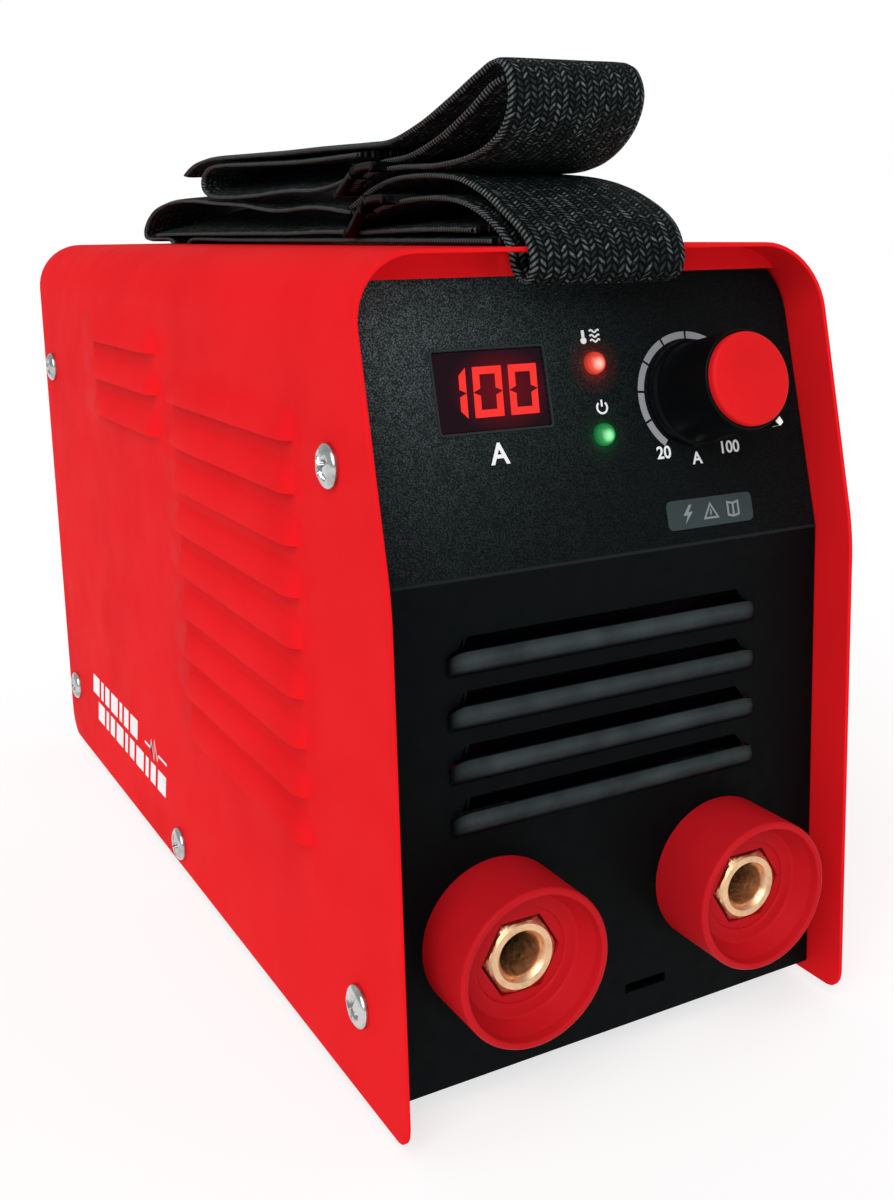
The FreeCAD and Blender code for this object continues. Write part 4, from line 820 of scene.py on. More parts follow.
def segments():
    """The outlines of a seven-segment digit's bars, mitred where they meet and notched at mid height."""
    x, y, s, g = DIGIT_WIDTH / 2, DIGIT_HEIGHT / 2, DIGIT_STROKE, DIGIT_GAP
    notch = s * 0.45
    top = [(-x + g, y), (x - g, y), (x - s - g, y - s), (-x + s + g, y - s)]
    right = [(x, y - g), (x, g), (x - s, g + notch), (x - s, y - s - g)]

    def flip(loop, across, down):
        return [(a * across, b * down) for a, b in loop]

    return {"a": top, "d": flip(top, 1, -1), "b": right, "c": flip(right, 1, -1), "f": flip(right, -1, 1),
            "e": flip(right, -1, -1)}


def make_display():
    """The smoked window, its raised outline on the panel and the lit digits."""
    middle = on_panel(WINDOW_X, WINDOW_RISE)
    lens = shape_of([fillet(rectangle(WINDOW_W - 0.3, WINDOW_H - 0.3, 0.6))], -2.6, -0.35, middle)
    bevelled(piece("display_lens", *lens, SMOKED, "window_plastic", replaces=["display_window"]), 0.25)
    outer = fillet(rectangle(WINDOW_W + 1.1, WINDOW_H + 1.1, 0.9))
    inner = fillet(rectangle(WINDOW_W + 0.1, WINDOW_H + 0.1, 0.6))
    outline = shape_of([outer, inner], -0.2, 0.22, middle)
    bevelled(piece("display_outline", *outline, DARK_TRIM, "panel_plastic"), 0.12)
    shapes = []
    for place, digit in enumerate("100"):
        middle = on_panel(WINDOW_X + DIGIT_X + DIGIT_PITCH * (place - 1), WINDOW_RISE + DIGIT_DROP)
        for bar in DIGITS[digit]:
            loop = [(x + DIGIT_SLANT * y, y) for x, y in segments()[bar]]
            shapes.append(shape_of([loop], -0.33, -0.3, middle))
    piece("display_digits", *joined(shapes), DIGIT_GLOW, "window_plastic")


def lettering(name, text, height, matrix, skin):
    """Figures printed on a surface, centred on the matrix."""
    curve = bpy.data.curves.new(name, "FONT")
    curve.body = text
    curve.size = height / 0.7
    curve.align_x, curve.align_y = "CENTER", "CENTER"
    curve.offset = height * 0.028
    curve.extrude = PRINT / 2
    maker = bpy.data.objects.new(f"{name}_curve", curve)
    mesh = bpy.data.meshes.new_from_object(maker)
    bpy.data.objects.remove(maker)
    mesh.transform(matrix)
    mesh.name = name
    return show(mesh, name, skin)


def arc_band(inner, outer, start, end, steps=8):
    """A stretch of a ring between two angles in degrees."""
    angles = [math.radians(start + (end - start) * i / steps) for i in range(steps + 1)]
    return ([(outer * math.cos(a), outer * math.sin(a)) for a in angles]
            + [(inner * math.cos(a), inner * math.sin(a)) for a in reversed(angles)])


SCALE_RADIUS, SCALE_SEGMENTS, SCALE_START, SCALE_PITCH, SCALE_GAP = 13.4, 9, 232, -28.9, 2.2
PRINTED_FIGURES = (("dial_low", "20", 16.7, 20.8, 2.7), ("dial_unit", "A", 25.5, 18.8, 2.7),
                   ("dial_high", "100", 34.8, 20.5, 2.7), ("display_unit", "A", -24.1, 24.2, 4.4))
KNOB_RADIUS, KNOB_SKIRT, KNOB_REACH, CAP_DEPTH, CAP_RISE, POINTER_ANGLE = 10.9, 12, 20.9, 1.5, 2.2, -52


def make_dial_print():
    """The knob's scale of nine segments with its figures, and the unit's letter under the display."""
    shapes = []
    for index in range(SCALE_SEGMENTS):
        start = SCALE_START + SCALE_PITCH * index - SCALE_GAP / 2
        loop = arc_band(SCALE_RADIUS - 0.8, SCALE_RADIUS + 0.8, start, start + SCALE_PITCH + SCALE_GAP)
        shapes.append(shape_of([loop], 0, PRINT, on_panel(DIAL_X, DIAL_RISE)))
    piece("dial_scale", *joined(shapes), GREY_PRINT, "label_film")
    for name, text, x, rise, height in PRINTED_FIGURES:
        lettering(name, text, height, on_panel(x, rise, PRINT / 2), WHITE_PRINT)


def stroke(points, width):
    """A line of even width through flat points, as an outline."""
    left, right = [], []
    for index, point in enumerate(points):
        here = Vector(point)
        ahead = Vector(points[min(index + 1, len(points) - 1)]) - Vector(points[max(index - 1, 0)])
        side = Vector((-ahead.y, ahead.x)).normalized() * width / 2
        left.append(here + side)
        right.append(here - side)
    return left + right[::-1]


def make_lamp_symbols():
    """A thermometer over the overload lamp, and a power symbol over the mains lamp."""
    stem = stroke([(-1.6, -0.2), (-1.6, 1.5)], 0.75)
    bulb = [(x - 1.6, y - 0.75) for x, y in circle(0.75, 20)]
    waves = [stroke([(0.1 + i * 0.25, row + 0.28 * math.sin(i * 0.9)) for i in range(11)], 0.4)
             for row in (-0.9, 0.15, 1.2)]
    ring = arc_band(1.05, 1.5, 130, 410, 24)
    bar = [(x, y + 0.95) for x, y, _ in rectangle(0.45, 1.5)]
    shapes = [shape_of([loop], 0, PRINT, on_panel(LAMP_X - 0.2, 47.6)) for loop in (stem, bulb, *waves)]
    shapes += [shape_of([loop], 0, PRINT, on_panel(LAMP_X + 0.6, 32.1)) for loop in (ring, bar)]
    piece("lamp_symbols", *joined(shapes), WHITE_PRINT, "label_film")


def make_label():
    """The grey label under the knob, with three plain pictograms."""
    middle = on_panel(27, 6.7)
    film = shape_of([fillet(rectangle(23.6, 6.6, 1.3))], 0, LABEL_THICK, middle)
    bevelled(piece("rating_label", *film, GREY_FILM, "label_film", replaces=["label_plate"]), 0.08)
    bolt = [(-5.8, 2), (-7.6, -0.3), (-6.4, -0.3), (-7.2, -2.1), (-4.9, 0.45), (-6.1, 0.45), (-5, 2)]
    triangle = [[(-2.2, -1.7), (2.2, -1.7), (0, 2.1)], [(-1.45, -1.25), (1.45, -1.25), (0, 1.25)]]
    book = [(4.6, 1.8), (6.3, 1.4), (8, 1.8), (8, -1.6), (6.3, -2), (4.6, -1.6)]
    page = [(5.1, 1.2), (6.05, 0.95), (6.05, -1.45), (5.1, -1.2)]
    other_page = [(12.6 - x, y) for x, y in reversed(page)]
    mark = [(x, y - 0.2) for x, y, _ in rectangle(0.4, 1.3)]
    shapes = [shape_of(loops, LABEL_THICK, LABEL_THICK + PRINT, middle)
              for loops in ([bolt], triangle, [book, page, other_page], [mark])]
    piece("label_pictograms", *joined(shapes), PALE_PRINT, "label_film")


def make_knob():
    """The knob: a waisted black body with a pointer rib, and a red cap let into its front."""
    middle = on_panel(DIAL_X, DIAL_RISE)
    seat, floor, top = KNOB_RADIUS - 0.7, KNOB_REACH - CAP_DEPTH, KNOB_REACH + CAP_RISE
    body = fillet([(9, 0.6), (KNOB_SKIRT, 0.6, 0.3), (KNOB_SKIRT, 2.6, 0.9), (KNOB_RADIUS + 0.35, 3.6, 0.9),
                   (KNOB_RADIUS, KNOB_REACH, 0.45), (seat, KNOB_REACH, 0.2), (seat, floor), (3, floor),
                   (3, 6), (9, 6)])
    turned = middle @ Matrix.Rotation(math.radians(POINTER_ANGLE), 4, "Z")

    def rib(start, end, root, tip, rounding, low, high):
        outline = [(start, -root), (end, -tip, rounding), (end, tip, rounding), (start, root)]
        return shape_of([fillet(outline)], low, high, turned)

    grip = rib(KNOB_RADIUS - 1, KNOB_RADIUS + 1.9, 1.1, 0.7, 0.4, 2.4, KNOB_REACH - 0.6)
    white = rib(KNOB_RADIUS + 0.45, KNOB_RADIUS + 2, 0.8, 0.6, 0.3, KNOB_REACH - 3.2, KNOB_REACH - 0.5)
    edge = seat - 0.08
    cap = fillet([(0.01, floor + 0.1), (edge, floor + 0.1), (edge, top - 0.5, 0.9), (0.01, top - 0.1)], 6)
    piece("knob_shell", *joined([lathe(body, middle, 128), grip]), BLACK_SMOOTH, "knob_plastic",
          body="current_dial", replaces=["knob_body"])
    piece("knob_pointer", *white, WHITE_PRINT, "knob_plastic", body="current_dial")
    piece("knob_front", *lathe(cap, middle, 128), RED_CAP, "cap_plastic", body="current_dial",
          replaces=["knob_cap"])


# ---------------- output sockets
SOCKET_XS = {"negative": -30.7, "positive": 28.3}
SOCKET_Z, COLLAR, COLLAR_REACH, CUP, CUP_FLOOR, HEX = 35.4, 17.3, 18, 12.8, 11, 15
BORE, KEY_HALF, KEY_DEEP = 4.6, 1.2, 6.3


def keyed(radius):
    """A round bore with a keyway on top, as a radius by angle."""
    def reach(angle):
        swing = abs(angle - math.pi / 2)
        if radius < KEY_DEEP and swing < math.asin(KEY_HALF / radius):
            return KEY_DEEP / max(math.cos(swing), 0.5)
        return radius
    return reach


def make_socket(name, x):
    """A red collar round a cup, and the brass hexagon with its keyed bore."""
    middle = on_front(x, SOCKET_Z)
    seat, lip = hexagon(HEX + 1.1), CUP_FLOOR + 0.5
    cup = fillet([(COLLAR, 0), (COLLAR, COLLAR_REACH, 0.9), (COLLAR - 1.6, COLLAR_REACH, 0.5),
                  (COLLAR - 1.9, COLLAR_REACH - 2.2, 0.4), (CUP + 0.6, lip, 0.8), (10.6, lip, 0.25),
                  (10.3, CUP_FLOOR, 0.2)])
    profile = [(seat, 0.4), *cup, (seat, CUP_FLOOR), (seat, CUP_FLOOR - 0.4)]
    piece(f"{name}_collar", *lathe(profile, middle, 144), RED_PLASTIC, "socket_plastic",
          replaces=[f"{name}_socket_collar"], sharp=30)
    front = CUP_FLOOR + 0.8
    insert = [(hexagon(HEX), 0.4), (hexagon(HEX), front - 1.4), (hexagon(HEX, 8.2), front - 0.9),
              (hexagon(HEX, 7.75), front - 0.45), (hexagon(HEX, 7.3), front - 0.15), (7.1, front),
              (BORE + 1.15, front), (BORE + 0.95, front - 0.15), (keyed(BORE + 0.2), front - 1.1),
              (keyed(BORE), front - 1.6), (keyed(BORE), -9), (0.01, -9), (0.01, -10), (5.2, -10), (5.2, 0.4)]
    piece(f"{name}_contact", *lathe(insert, middle, 144), BRASS, "contact_brass",
          replaces=[f"{name}_brass_insert"], sharp=22)


# ---------------- screws
SCREW_SIDES = 64


def screw_head(matrix, radius, height, arm):
    """A domed head with a pressed cross recess."""
    count, rings = SCREW_SIDES, [0.06 * i for i in range(11)] + [0.7, 0.8, 0.88, 0.94, 0.98, 1.0]
    vertices, faces = [], []
    for share in rings:
        for i in range(count):
            angle = 2 * math.pi * i / count
            x, y = share * radius * math.cos(angle), share * radius * math.sin(angle)
            dome = 0.3 * height + 0.7 * height * math.sqrt(max(1 - share ** 2.2, 0))
            across, along = min(abs(x), abs(y)) / arm, max(abs(x), abs(y)) / arm
            inside = smoothly((0.24 - across) / 0.1 + 0.5) * smoothly((1 - along) / 0.25 + 0.5)
            vertices.append(matrix @ Vector((x, y, dome - inside * height * 0.75 * (1 - 0.35 * along))))
    for i in range(count):
        angle = 2 * math.pi * i / count
        vertices.append(matrix @ Vector((radius * math.cos(angle), radius * math.sin(angle), -0.05)))
    for ring in range(len(rings)):
        for i in range(count):
            j = (i + 1) % count
            faces.append((ring * count + i, ring * count + j, (ring + 1) * count + j, (ring + 1) * count + i))
    return vertices, faces


SCREW_PLACES = ((26, 137.5), (22, 22), (156, 7.5), (283, 138), (283, 21))
SCREW_TURN = 35
GUARD_Z, GUARD_PITCH, GUARD_OUT = 62, 41.25, 2.1


def make_screws():
    tilt = 0
    for side in SIDES:
        heads = []
        for y, z in SCREW_PLACES:
            tilt += SCREW_TURN
            turned = on_side(side, y, z) @ Matrix.Rotation(math.radians(tilt), 4, "Z")
            heads.append(screw_head(turned, 4.8, 2.3, 2.7))
        name = "left" if side < 0 else "right"
        piece(f"cover_screws_{name}", *joined(heads), CHROME, "case_screw_metal",
              replaces=["cover_screws"] if side < 0 else [], sharp=60)
    heads = []
    for x in (-GUARD_PITCH, GUARD_PITCH):
        for lift in (-GUARD_PITCH, GUARD_PITCH):
            turned = on_rear(-x, GUARD_Z + lift, GUARD_OUT) @ Matrix.Rotation(0.3 * x, 4, "Z")
            heads.append(screw_head(turned, 3.8, 2.2, 2.2))
    piece("guard_screws", *joined(heads), CHROME, "case_screw_metal", replaces=["fan_screws"], sharp=60)


# ---------------- side decal
DECAL_Y, DECAL_Z = 212.5, 24.5
BAR_WIDTHS, BAR_GAP, BAR_HEIGHT = (8.5, 3.2, 5.4), 2.6, 7


def slanted_bars(start, end, low):
    """A row of slanted bars, by turns wide and narrow."""
    loops, x, high, lean = [], start, low + BAR_HEIGHT, BAR_HEIGHT * 0.3
    while x < end:
        width = BAR_WIDTHS[len(loops) % len(BAR_WIDTHS)]
        loops.append([(x, low), (x + width, low), (x + width + lean, high), (x + lean, high)])
        x += width + BAR_GAP
    return loops


def make_side_marks():
    """A plain pattern of slanted bars and a pulse line, low on the left side."""
    loops = slanted_bars(-46, 14, 1) + slanted_bars(-41, 40, -8)
    pulse = [(22, 3.6), (28, 3.6), (29.5, 6.5), (31.5, 0.6), (33.5, 7.4), (35.5, 1.4), (37, 3.6), (46, 3.6)]
    loops.append(stroke(pulse, 0.8))
    shapes = [shape_of([loop], 0.01, PRINT, on_side(-1, DECAL_Y, DECAL_Z)) for loop in loops]
    piece("side_stripes", *joined(shapes), WHITE_PRINT, "label_film")


# ---------------- carrying strap
STRAP_WIDTH, STRAP_THICK, STRAP_STEP, COLUMNS = 38, 1.7, 1.0, 24
SPLINE_STEPS = 24


def spline(points, spacing):
    """Places at an even spacing along a smooth line through flat points."""
    dense = []
    for i in range(len(points) - 1):
        before = Vector(points[max(i - 1, 0)])
        start, end = Vector(points[i]), Vector(points[i + 1])
        after = Vector(points[min(i + 2, len(points) - 1)])
        span = (end - start).length
        pull_in = (end - before).normalized() * span if i else end - start
        pull_out = (after - start).normalized() * span if i + 2 < len(points) else end - start
        for step in range(SPLINE_STEPS):
            s = step / SPLINE_STEPS
            dense.append(start * (2 * s ** 3 - 3 * s ** 2 + 1) + pull_in * (s ** 3 - 2 * s ** 2 + s)
                         + end * (3 * s ** 2 - 2 * s ** 3) + pull_out * (s ** 3 - s ** 2))
    dense.append(Vector(points[-1]))
    lengths = [0]
    for a, b in zip(dense, dense[1:]):
        lengths.append(lengths[-1] + (b - a).length)
    count = max(int(lengths[-1] / spacing), 4)
    spots, place = [], 0
    for i in range(count + 1):
        goal = lengths[-1] * i / count
        while place < len(dense) - 2 and lengths[place + 1] < goal:
            place += 1
        gap = lengths[place + 1] - lengths[place]
        spots.append(dense[place].lerp(dense[place + 1], (goal - lengths[place]) / gap if gap else 0))
    return spots, lengths[-1]


def ribbon_faces(count):
    """The faces of a ribbon of count rows: its two sides, its long edges and its ends."""
    width, offset = COLUMNS + 1, count * (COLUMNS + 1)
    faces = []
    for i in range(count - 1):
        for c in range(COLUMNS):
            a = i * width + c
            faces.append((a, a + 1, a + width + 1, a + width))
            faces.append((a + offset, a + offset + width, a + offset + width + 1, a + offset + 1))
        for c, turn in ((0, 1), (COLUMNS, -1)):
            a = i * width + c
            faces.append((a, a + width, a + offset + width, a + offset)[::turn])
    for i, turn in ((0, -1), (count - 1, 1)):
        for c in range(COLUMNS):
            a = i * width + c
            faces.append((a, a + 1, a + offset + 1, a + offset)[::turn])
    return faces


def strap(name, left, right, replaces=(), phase=0):
    """A length of webbing. Its two edges follow their own (y, z) lines, and its middle runs between them."""
    lefts, length = spline(left, STRAP_STEP)
    rights, _ = spline(right, STRAP_STEP)
    count, width = len(lefts), COLUMNS + 1
    rights = [rights[round(i * (len(rights) - 1) / (count - 1))] for i in range(count)]
    shares = [c / COLUMNS for c in range(width)]
    rows = [[Vector(((share - 0.5) * STRAP_WIDTH, *low.lerp(high, share))) for share in shares]
            for low, high in zip(lefts, rights)]
    thins = [math.sqrt(max(1 - (abs(share - 0.5) * 2) ** 12, 0)) * 0.75 + 0.25 for share in shares]
    vertices = []
    for side in (1, -1):
        for i, row in enumerate(rows):
            for c, spot in enumerate(row):
                ahead = rows[min(i + 1, count - 1)][c] - rows[max(i - 1, 0)][c]
                across = row[min(c + 1, COLUMNS)] - row[max(c - 1, 0)]
                normal = across.cross(ahead).normalized()
                vertices.append(at(*(spot + normal * side * STRAP_THICK / 2 * thins[c])))
    mesh = bpy.data.meshes.new(name)
    mesh.from_pydata([tuple(v) for v in vertices], [], ribbon_faces(count))
    layer = mesh.uv_layers.new(name="weave")
    step = length / (count - 1)
    for loop in mesh.loops:
        index = loop.vertex_index % (count * width)
        layer.data[loop.index].uv = ((index % width) / COLUMNS, (index // width) * step + phase)
    for polygon in mesh.polygons:
        polygon.use_smooth = True
    obj = show(mesh, name, WEBBING, replaces=replaces)
    return obj


FRONT_LOOP_LEFT = [(104, 185.6), (88, 188.6), (72, 190.4), (52, 190.4), (38, 188.2), (27, 183.8),
                   (21.6, 179.6), (19.9, 175.4), (16.4, 172.9), (12.9, 174.8), (12.3, 178), (15, 182),
                   (22, 186), (33, 191.2), (47, 194.8), (73, 195.8), (88, 194), (104, 189.4)]
FRONT_LOOP_RIGHT = [(104, 186.6), (88, 188.8), (72, 190.4), (52, 191), (38, 189.2), (28, 185.8),
                    (21.8, 180.6), (19.9, 175.6), (16.4, 172.9), (12.9, 174.8), (12.4, 179), (15.5, 184.2),
                    (24, 189), (37, 193), (58, 195.4), (73, 195.2), (88, 193.6), (104, 190.4)]
UPPER_LOOP_LEFT = [(106, 193.2), (92, 197.4), (76, 198.2), (54, 197.8), (34, 199.6), (23.5, 203.6),
                   (20, 209), (21, 214.6), (25.5, 217.2), (33, 215.6), (46, 211.6), (62, 207.2),
                   (80, 204.2), (96, 204.2), (122, 204.8), (150, 205.2), (185, 206), (215, 206.6),
                   (229, 206), (238, 204.6), (245, 202.6)]
UPPER_LOOP_RIGHT = [(106, 194.2), (92, 198.4), (76, 198.4), (60, 197), (45, 198), (33, 203.4), (27.5, 211),
                    (30, 217.2), (36, 218.8), (44, 217), (56, 213), (68, 209.6), (82, 207.2), (96, 206.4),
                    (122, 206.6), (150, 206.8), (185, 207.4), (215, 208), (230, 207.4), (239, 206.2),
                    (246, 204.4)]
TAIL_LEFT = [(23.6, 213.6), (28, 212.6), (38, 208.4), (52, 203.8), (68, 200.6), (84, 199.8)]
TAIL_RIGHT = [(30.6, 214), (35, 213.4), (44, 209.6), (56, 204.8), (70, 201.4), (84, 201)]
MIDDLE_LEFT = [(98, 202.2), (140, 202.3), (180, 203.4), (211, 204.2), (221, 203.2), (226.2, 199.2),
               (222, 195.8), (211, 194.4), (180, 194), (150, 194.6), (124, 194.4), (98, 197.4)]
MIDDLE_RIGHT = [(98, 204.4), (140, 204.8), (180, 205.6), (211, 206.2), (222, 206), (227, 205.3),
                (222, 204.9), (211, 205.4), (180, 205), (150, 204.3), (124, 203.6), (98, 203.1)]
LOWER_LEFT = [(102, 183), (125, 183.2), (150, 182.9), (180, 183), (215, 183), (250, 183), (284, 182.9)]
LOWER_RIGHT = [(102, 190.6), (125, 191.2), (150, 191.4), (180, 192.2), (215, 193.4), (250, 194.2),
               (274, 193.4), (288, 190.4)]
UNDER_LEFT = [(38, 183.3), (60, 183.5), (84, 183.2), (100, 182.9)]
UNDER_RIGHT = [(38, 186), (52, 188.4), (70, 188.8), (86, 188.4), (100, 187.4)]
ANCHOR = [(292, 181.6), (275, 181.8), (266.5, 181.2), (262.6, 179), (260.4, 176.6), (255, 175.4),
          (249.6, 176.6), (247.4, 179), (243.4, 181.2), (236, 181.6)]
REAR_LEFT = [(104, 188), (130, 189.8), (160, 189.4), (190, 191.6), (215, 192.7), (240, 194), (262, 194.1),
             (281, 192.2), (291.5, 189.2), (298, 185.6), (299, 183), (296.5, 181.8), *ANCHOR, (200, 181.2),
             (100, 181.1), (30, 181)]
REAR_RIGHT = [(104, 194), (130, 195), (160, 195.6), (190, 196.2), (215, 197), (240, 197.6), (262, 197.2),
              (280, 195.6), (291.5, 192.6), (298.6, 187.6), (300.4, 184), (297, 181.9), *ANCHOR,
              (200, 185.2), (100, 185.2), (60, 184), (30, 182)]


def make_strap():
    """The webbing strap as it lies folded: round the front bar, up into a loop, and back in a bundle."""
    strap("strap_front_bight", FRONT_LOOP_LEFT, FRONT_LOOP_RIGHT, replaces=["strap_front_loop"])
    strap("strap_upper_bight", UPPER_LOOP_LEFT, UPPER_LOOP_RIGHT, replaces=["strap_upper_loop"],
          phase=3)
    strap("strap_inner_tail", TAIL_LEFT, TAIL_RIGHT, phase=7)
    strap("strap_middle_fold", MIDDLE_LEFT, MIDDLE_RIGHT, replaces=["strap_folded_run"],
          phase=2)
    strap("strap_lower_fold", LOWER_LEFT, LOWER_RIGHT, phase=5)
    strap("strap_rear_fold", REAR_LEFT, REAR_RIGHT, replaces=["strap_rear_loop"], phase=1)
    # The under run lies on the cover's top inside the upper loop; it is also a dark layer that stands in for
    # the shade under the strap
    strap("strap_under_run_shade_fill", UNDER_LEFT, UNDER_RIGHT, phase=6)


SLIDER_HALF, SLIDER_WIDTH, SLIDER_BAR, SLIDER_RAIL, SLIDER_STEP = 0.95, STRAP_WIDTH + 6.8, 2.4, 2.8, 0.8
SLIDER_PROFILE = {
    "front": [(101, 182.6), (97.6, 183.8), (91, 188.4), (86.6, 190.6), (79, 191.2), (74, 191)],
    "upper": [(107, 192.4), (103.6, 193.4), (97, 196.6), (92.6, 198.4), (85, 198.9), (80, 198.8)]}


def slider_member(spots, low_x, high_x, first, last):
    """A block between two of the profile's spots, as thick as the slider."""
    rows = []
    for i in range(first, last + 1):
        ahead = spots[min(i + 1, len(spots) - 1)] - spots[max(i - 1, 0)]
        lift = Vector((-ahead.y, ahead.x)).normalized() * math.copysign(SLIDER_HALF, ahead.x)
        above, below = spots[i] + lift, spots[i] - lift
        ring = [at(low_x, *above), at(high_x, *above), at(high_x, *below), at(low_x, *below)]
        rows.append(ring + [ring[0]])
    vertices, faces = grid(rows)
    return vertices, faces + [(0, 1, 2, 3), tuple(len(vertices) - 5 + i for i in (3, 2, 1, 0))]


def make_sliders():
    """Plastic three-bar sliders, bent like a flat S, that the webbing is threaded through."""
    half = SLIDER_WIDTH / 2
    for name, line in SLIDER_PROFILE.items():
        spots, length = spline(line, SLIDER_STEP)
        bars = (0, length / 2 - SLIDER_BAR / 2, length - SLIDER_BAR)
        members = [(-half, SLIDER_RAIL - half, 0, length), (half - SLIDER_RAIL, half, 0, length)]
        members += [(-half, half, start, start + SLIDER_BAR) for start in bars]
        shapes = []
        for low_x, high_x, start, end in members:
            first = int(start / length * (len(spots) - 1))
            last = max(math.ceil(end / length * (len(spots) - 1)), first + 1)
            shapes.append(slider_member(spots, low_x, high_x, first, last))
        slider = piece(f"{name}_slider", *joined(shapes), BLACK_SMOOTH, "slider_plastic",
                       replaces=[f"{name}_strap_slider"])
        bevelled(slider, 0.7, 40, 3)


# ---------------- materials of the carried-over nodes
def dress_frame():
    """Gives every CAD node that stays its own finish."""
    finishes = (
        (BLACK_GRAIN, ["rear_panel"]), (BLACK_STEEL, ["base_plate"]),
        (BLACK_GLOSS, ["mains_switch", "switch_rocker"]),
        (BLACK_SMOOTH, ["display_module", "lamp_spacers", "fan_frame", "fan_rotor", "gland_body", "gland_nut",
                        "gland_lock_nut"]),
        (RUBBER, ["rubber_feet", "gland_seal"]), (RED_GLOW, ["overload_lamp"]), (GREEN_GLOW, ["power_lamp"]),
        (ZINC, ["base_screws", "feet_screws", "potentiometer", "pot_nut", "socket_washers", "fan_nuts",
                "board_posts", "board_screws"]),
        (ALUMINIUM, ["pot_shaft", "transistor_heat_sink", "rectifier_heat_sink"]), (CHROME, ["fan_guard"]),
        (COPPER, ["negative_busbar", "positive_busbar", "transformer_winding"]), (BRASS, ["socket_nuts"]),
        (DARK_CHIP, ["socket_insulators", "transistor_packages", "rectifier_packages", "bridge_rectifier",
                     "soft_start_relay"]),
        (GREEN_BOARD, ["control_board", "power_board"]), (FERRITE, ["transformer_core", "output_choke"]),
        (SLEEVE, ["filter_capacitors"]))
    for skin, names in finishes:
        for name in names:
            materials = frame["nodes"][name].data.materials
            materials.clear()
            materials.append(skin)


# ---------------- rear details
ROCKER_X, ROCKER_Y, ROCKER_Z, ROCKER_TILT = 28, 292, 142, math.radians(10)
ROCKER_FACE, ROCKER_LEAN, MARK_LIFT = 2.9, math.atan2(1.3, 11.3), 6.2


def on_rocker(half):
    """Where a mark stands on the rocker's rear face, on its upper (1) or its lower (-1) half."""
    turned = Matrix.Rotation(ROCKER_TILT, 3, "X")
    up = turned @ Vector((0, half * math.sin(ROCKER_LEAN), math.cos(ROCKER_LEAN)))
    middle = turned @ BACK * ROCKER_FACE + up * half * MARK_LIFT
    return axes(at(ROCKER_X, ROCKER_Y, ROCKER_Z) + middle * MM, -RIGHT, up)


def make_rocker_marks():
    """The on and off marks, a bar and a ring."""
    bar = shape_of([rectangle(0.9, 5)], 0.01, PRINT, on_rocker(1))
    ring = shape_of([circle(2.4, 40), circle(1.7, 40)], 0.01, PRINT, on_rocker(-1))
    piece("rocker_marks", *joined([bar, ring]), WHITE_PRINT, "switch_plastic", body="power_rocker")


# ---------------- studio
ROOM_LIGHT, KEY_LIGHT, KEY_SOFTNESS, KEY_FROM = 0.5, 2.0, 50, (-0.5, -0.6, 0.6)
WHITE, FLOOR_GLOW, FLOOR_SIZE = (1, 1, 1), 0.68, 12


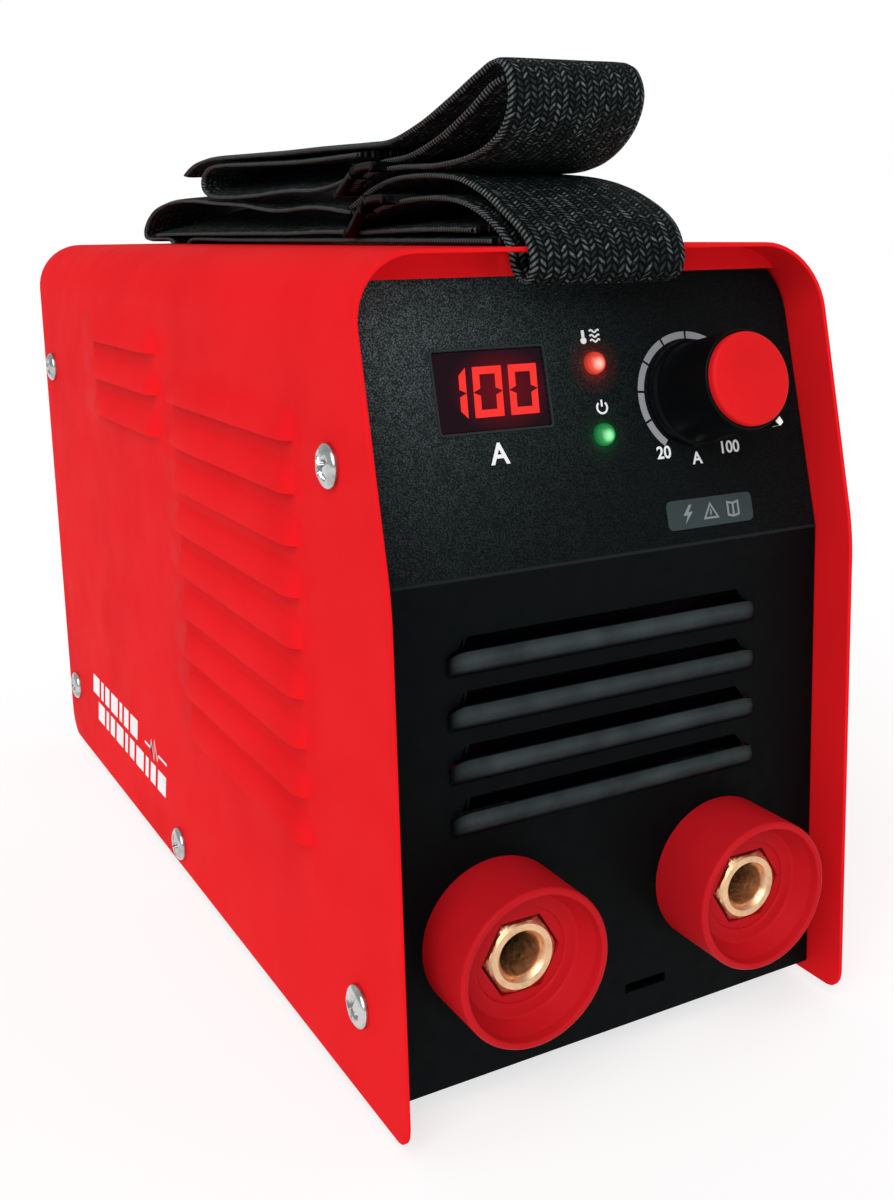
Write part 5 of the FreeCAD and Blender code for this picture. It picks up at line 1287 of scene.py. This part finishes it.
def make_studio():
    """A pale floor and backdrop, an even room light and one wide soft light from the front left."""
    floor_mesh = bpy.data.meshes.new("floor")
    floor_mesh.from_pydata([(x, y, 0) for x, y, _ in rectangle(FLOOR_SIZE, FLOOR_SIZE)], [], [range(4)])
    floor = bpy.data.objects.new("floor", floor_mesh)
    bpy.context.scene.collection.objects.link(floor)
    pale = material("pale_floor", (0.38, 0.38, 0.38), 0.8, specular=0.0)
    floor_mesh.materials.append(emit(pale, WHITE, FLOOR_GLOW))
    world = bpy.data.worlds.new("studio")
    bpy.context.scene.world = world
    world.use_nodes = True
    nodes, links = world.node_tree.nodes, world.node_tree.links
    room = nodes["Background"]
    room.inputs["Color"].default_value = (*WHITE, 1)
    room.inputs["Strength"].default_value = ROOM_LIGHT
    backdrop = nodes.new("ShaderNodeBackground")
    seen = nodes.new("ShaderNodeLightPath")
    either = nodes.new("ShaderNodeMixShader")
    links.new(seen.outputs["Is Camera Ray"], either.inputs["Fac"])
    links.new(room.outputs["Background"], either.inputs[1])
    links.new(backdrop.outputs["Background"], either.inputs[2])
    links.new(either.outputs["Shader"], nodes["World Output"].inputs["Surface"])
    backdrop.inputs["Color"].default_value = (*WHITE, 1)
    lamp = bpy.data.lights.new("key", "SUN")
    lamp.energy = KEY_LIGHT
    lamp.angle = math.radians(KEY_SOFTNESS)
    key = bpy.data.objects.new("key_light", lamp)
    key.rotation_euler = Vector(KEY_FROM).to_track_quat("Z", "Y").to_euler()
    bpy.context.scene.collection.objects.link(key)


CAMERA_PLACE = Vector((-0.16175, -0.38678, 0.18633))
CAMERA_TURN, CAMERA_TILT, CAMERA_ROLL = 0.54394, -0.183548, -0.012452
CAMERA_LENS, CAMERA_SENSOR = 42.424, 36
CAMERA_SHIFT = (-0.0998, -0.0901)


def make_camera():
    """The photograph's viewpoint: the camera stands left of the front and looks slightly down."""
    right = Vector((math.cos(CAMERA_TURN), -math.sin(CAMERA_TURN), 0))
    forward = UP.cross(right) * math.cos(CAMERA_TILT) + UP * math.sin(CAMERA_TILT)
    up = right.cross(forward)
    level = Matrix((right, up, -forward)).transposed().to_4x4()
    data = bpy.data.cameras.new("camera")
    data.lens, data.sensor_width = CAMERA_LENS, CAMERA_SENSOR
    data.shift_x, data.shift_y = CAMERA_SHIFT
    data.clip_start = 0.01
    camera = bpy.data.objects.new("camera", data)
    camera.matrix_world = Matrix.Translation(CAMERA_PLACE) @ level @ Matrix.Rotation(CAMERA_ROLL, 4, "Z")
    bpy.context.scene.collection.objects.link(camera)
    bpy.context.scene.camera = camera


make_camera()
make_cover()
make_front_panel()
make_display()
make_dial_print()
make_lamp_symbols()
make_label()
make_knob()
for socket_name, socket_x in SOCKET_XS.items():
    make_socket(socket_name, socket_x)
make_screws()
make_side_marks()
make_rocker_marks()
make_strap()
make_sliders()
dress_frame()
make_studio()
bpy.context.scene.view_settings.view_transform = "Standard"
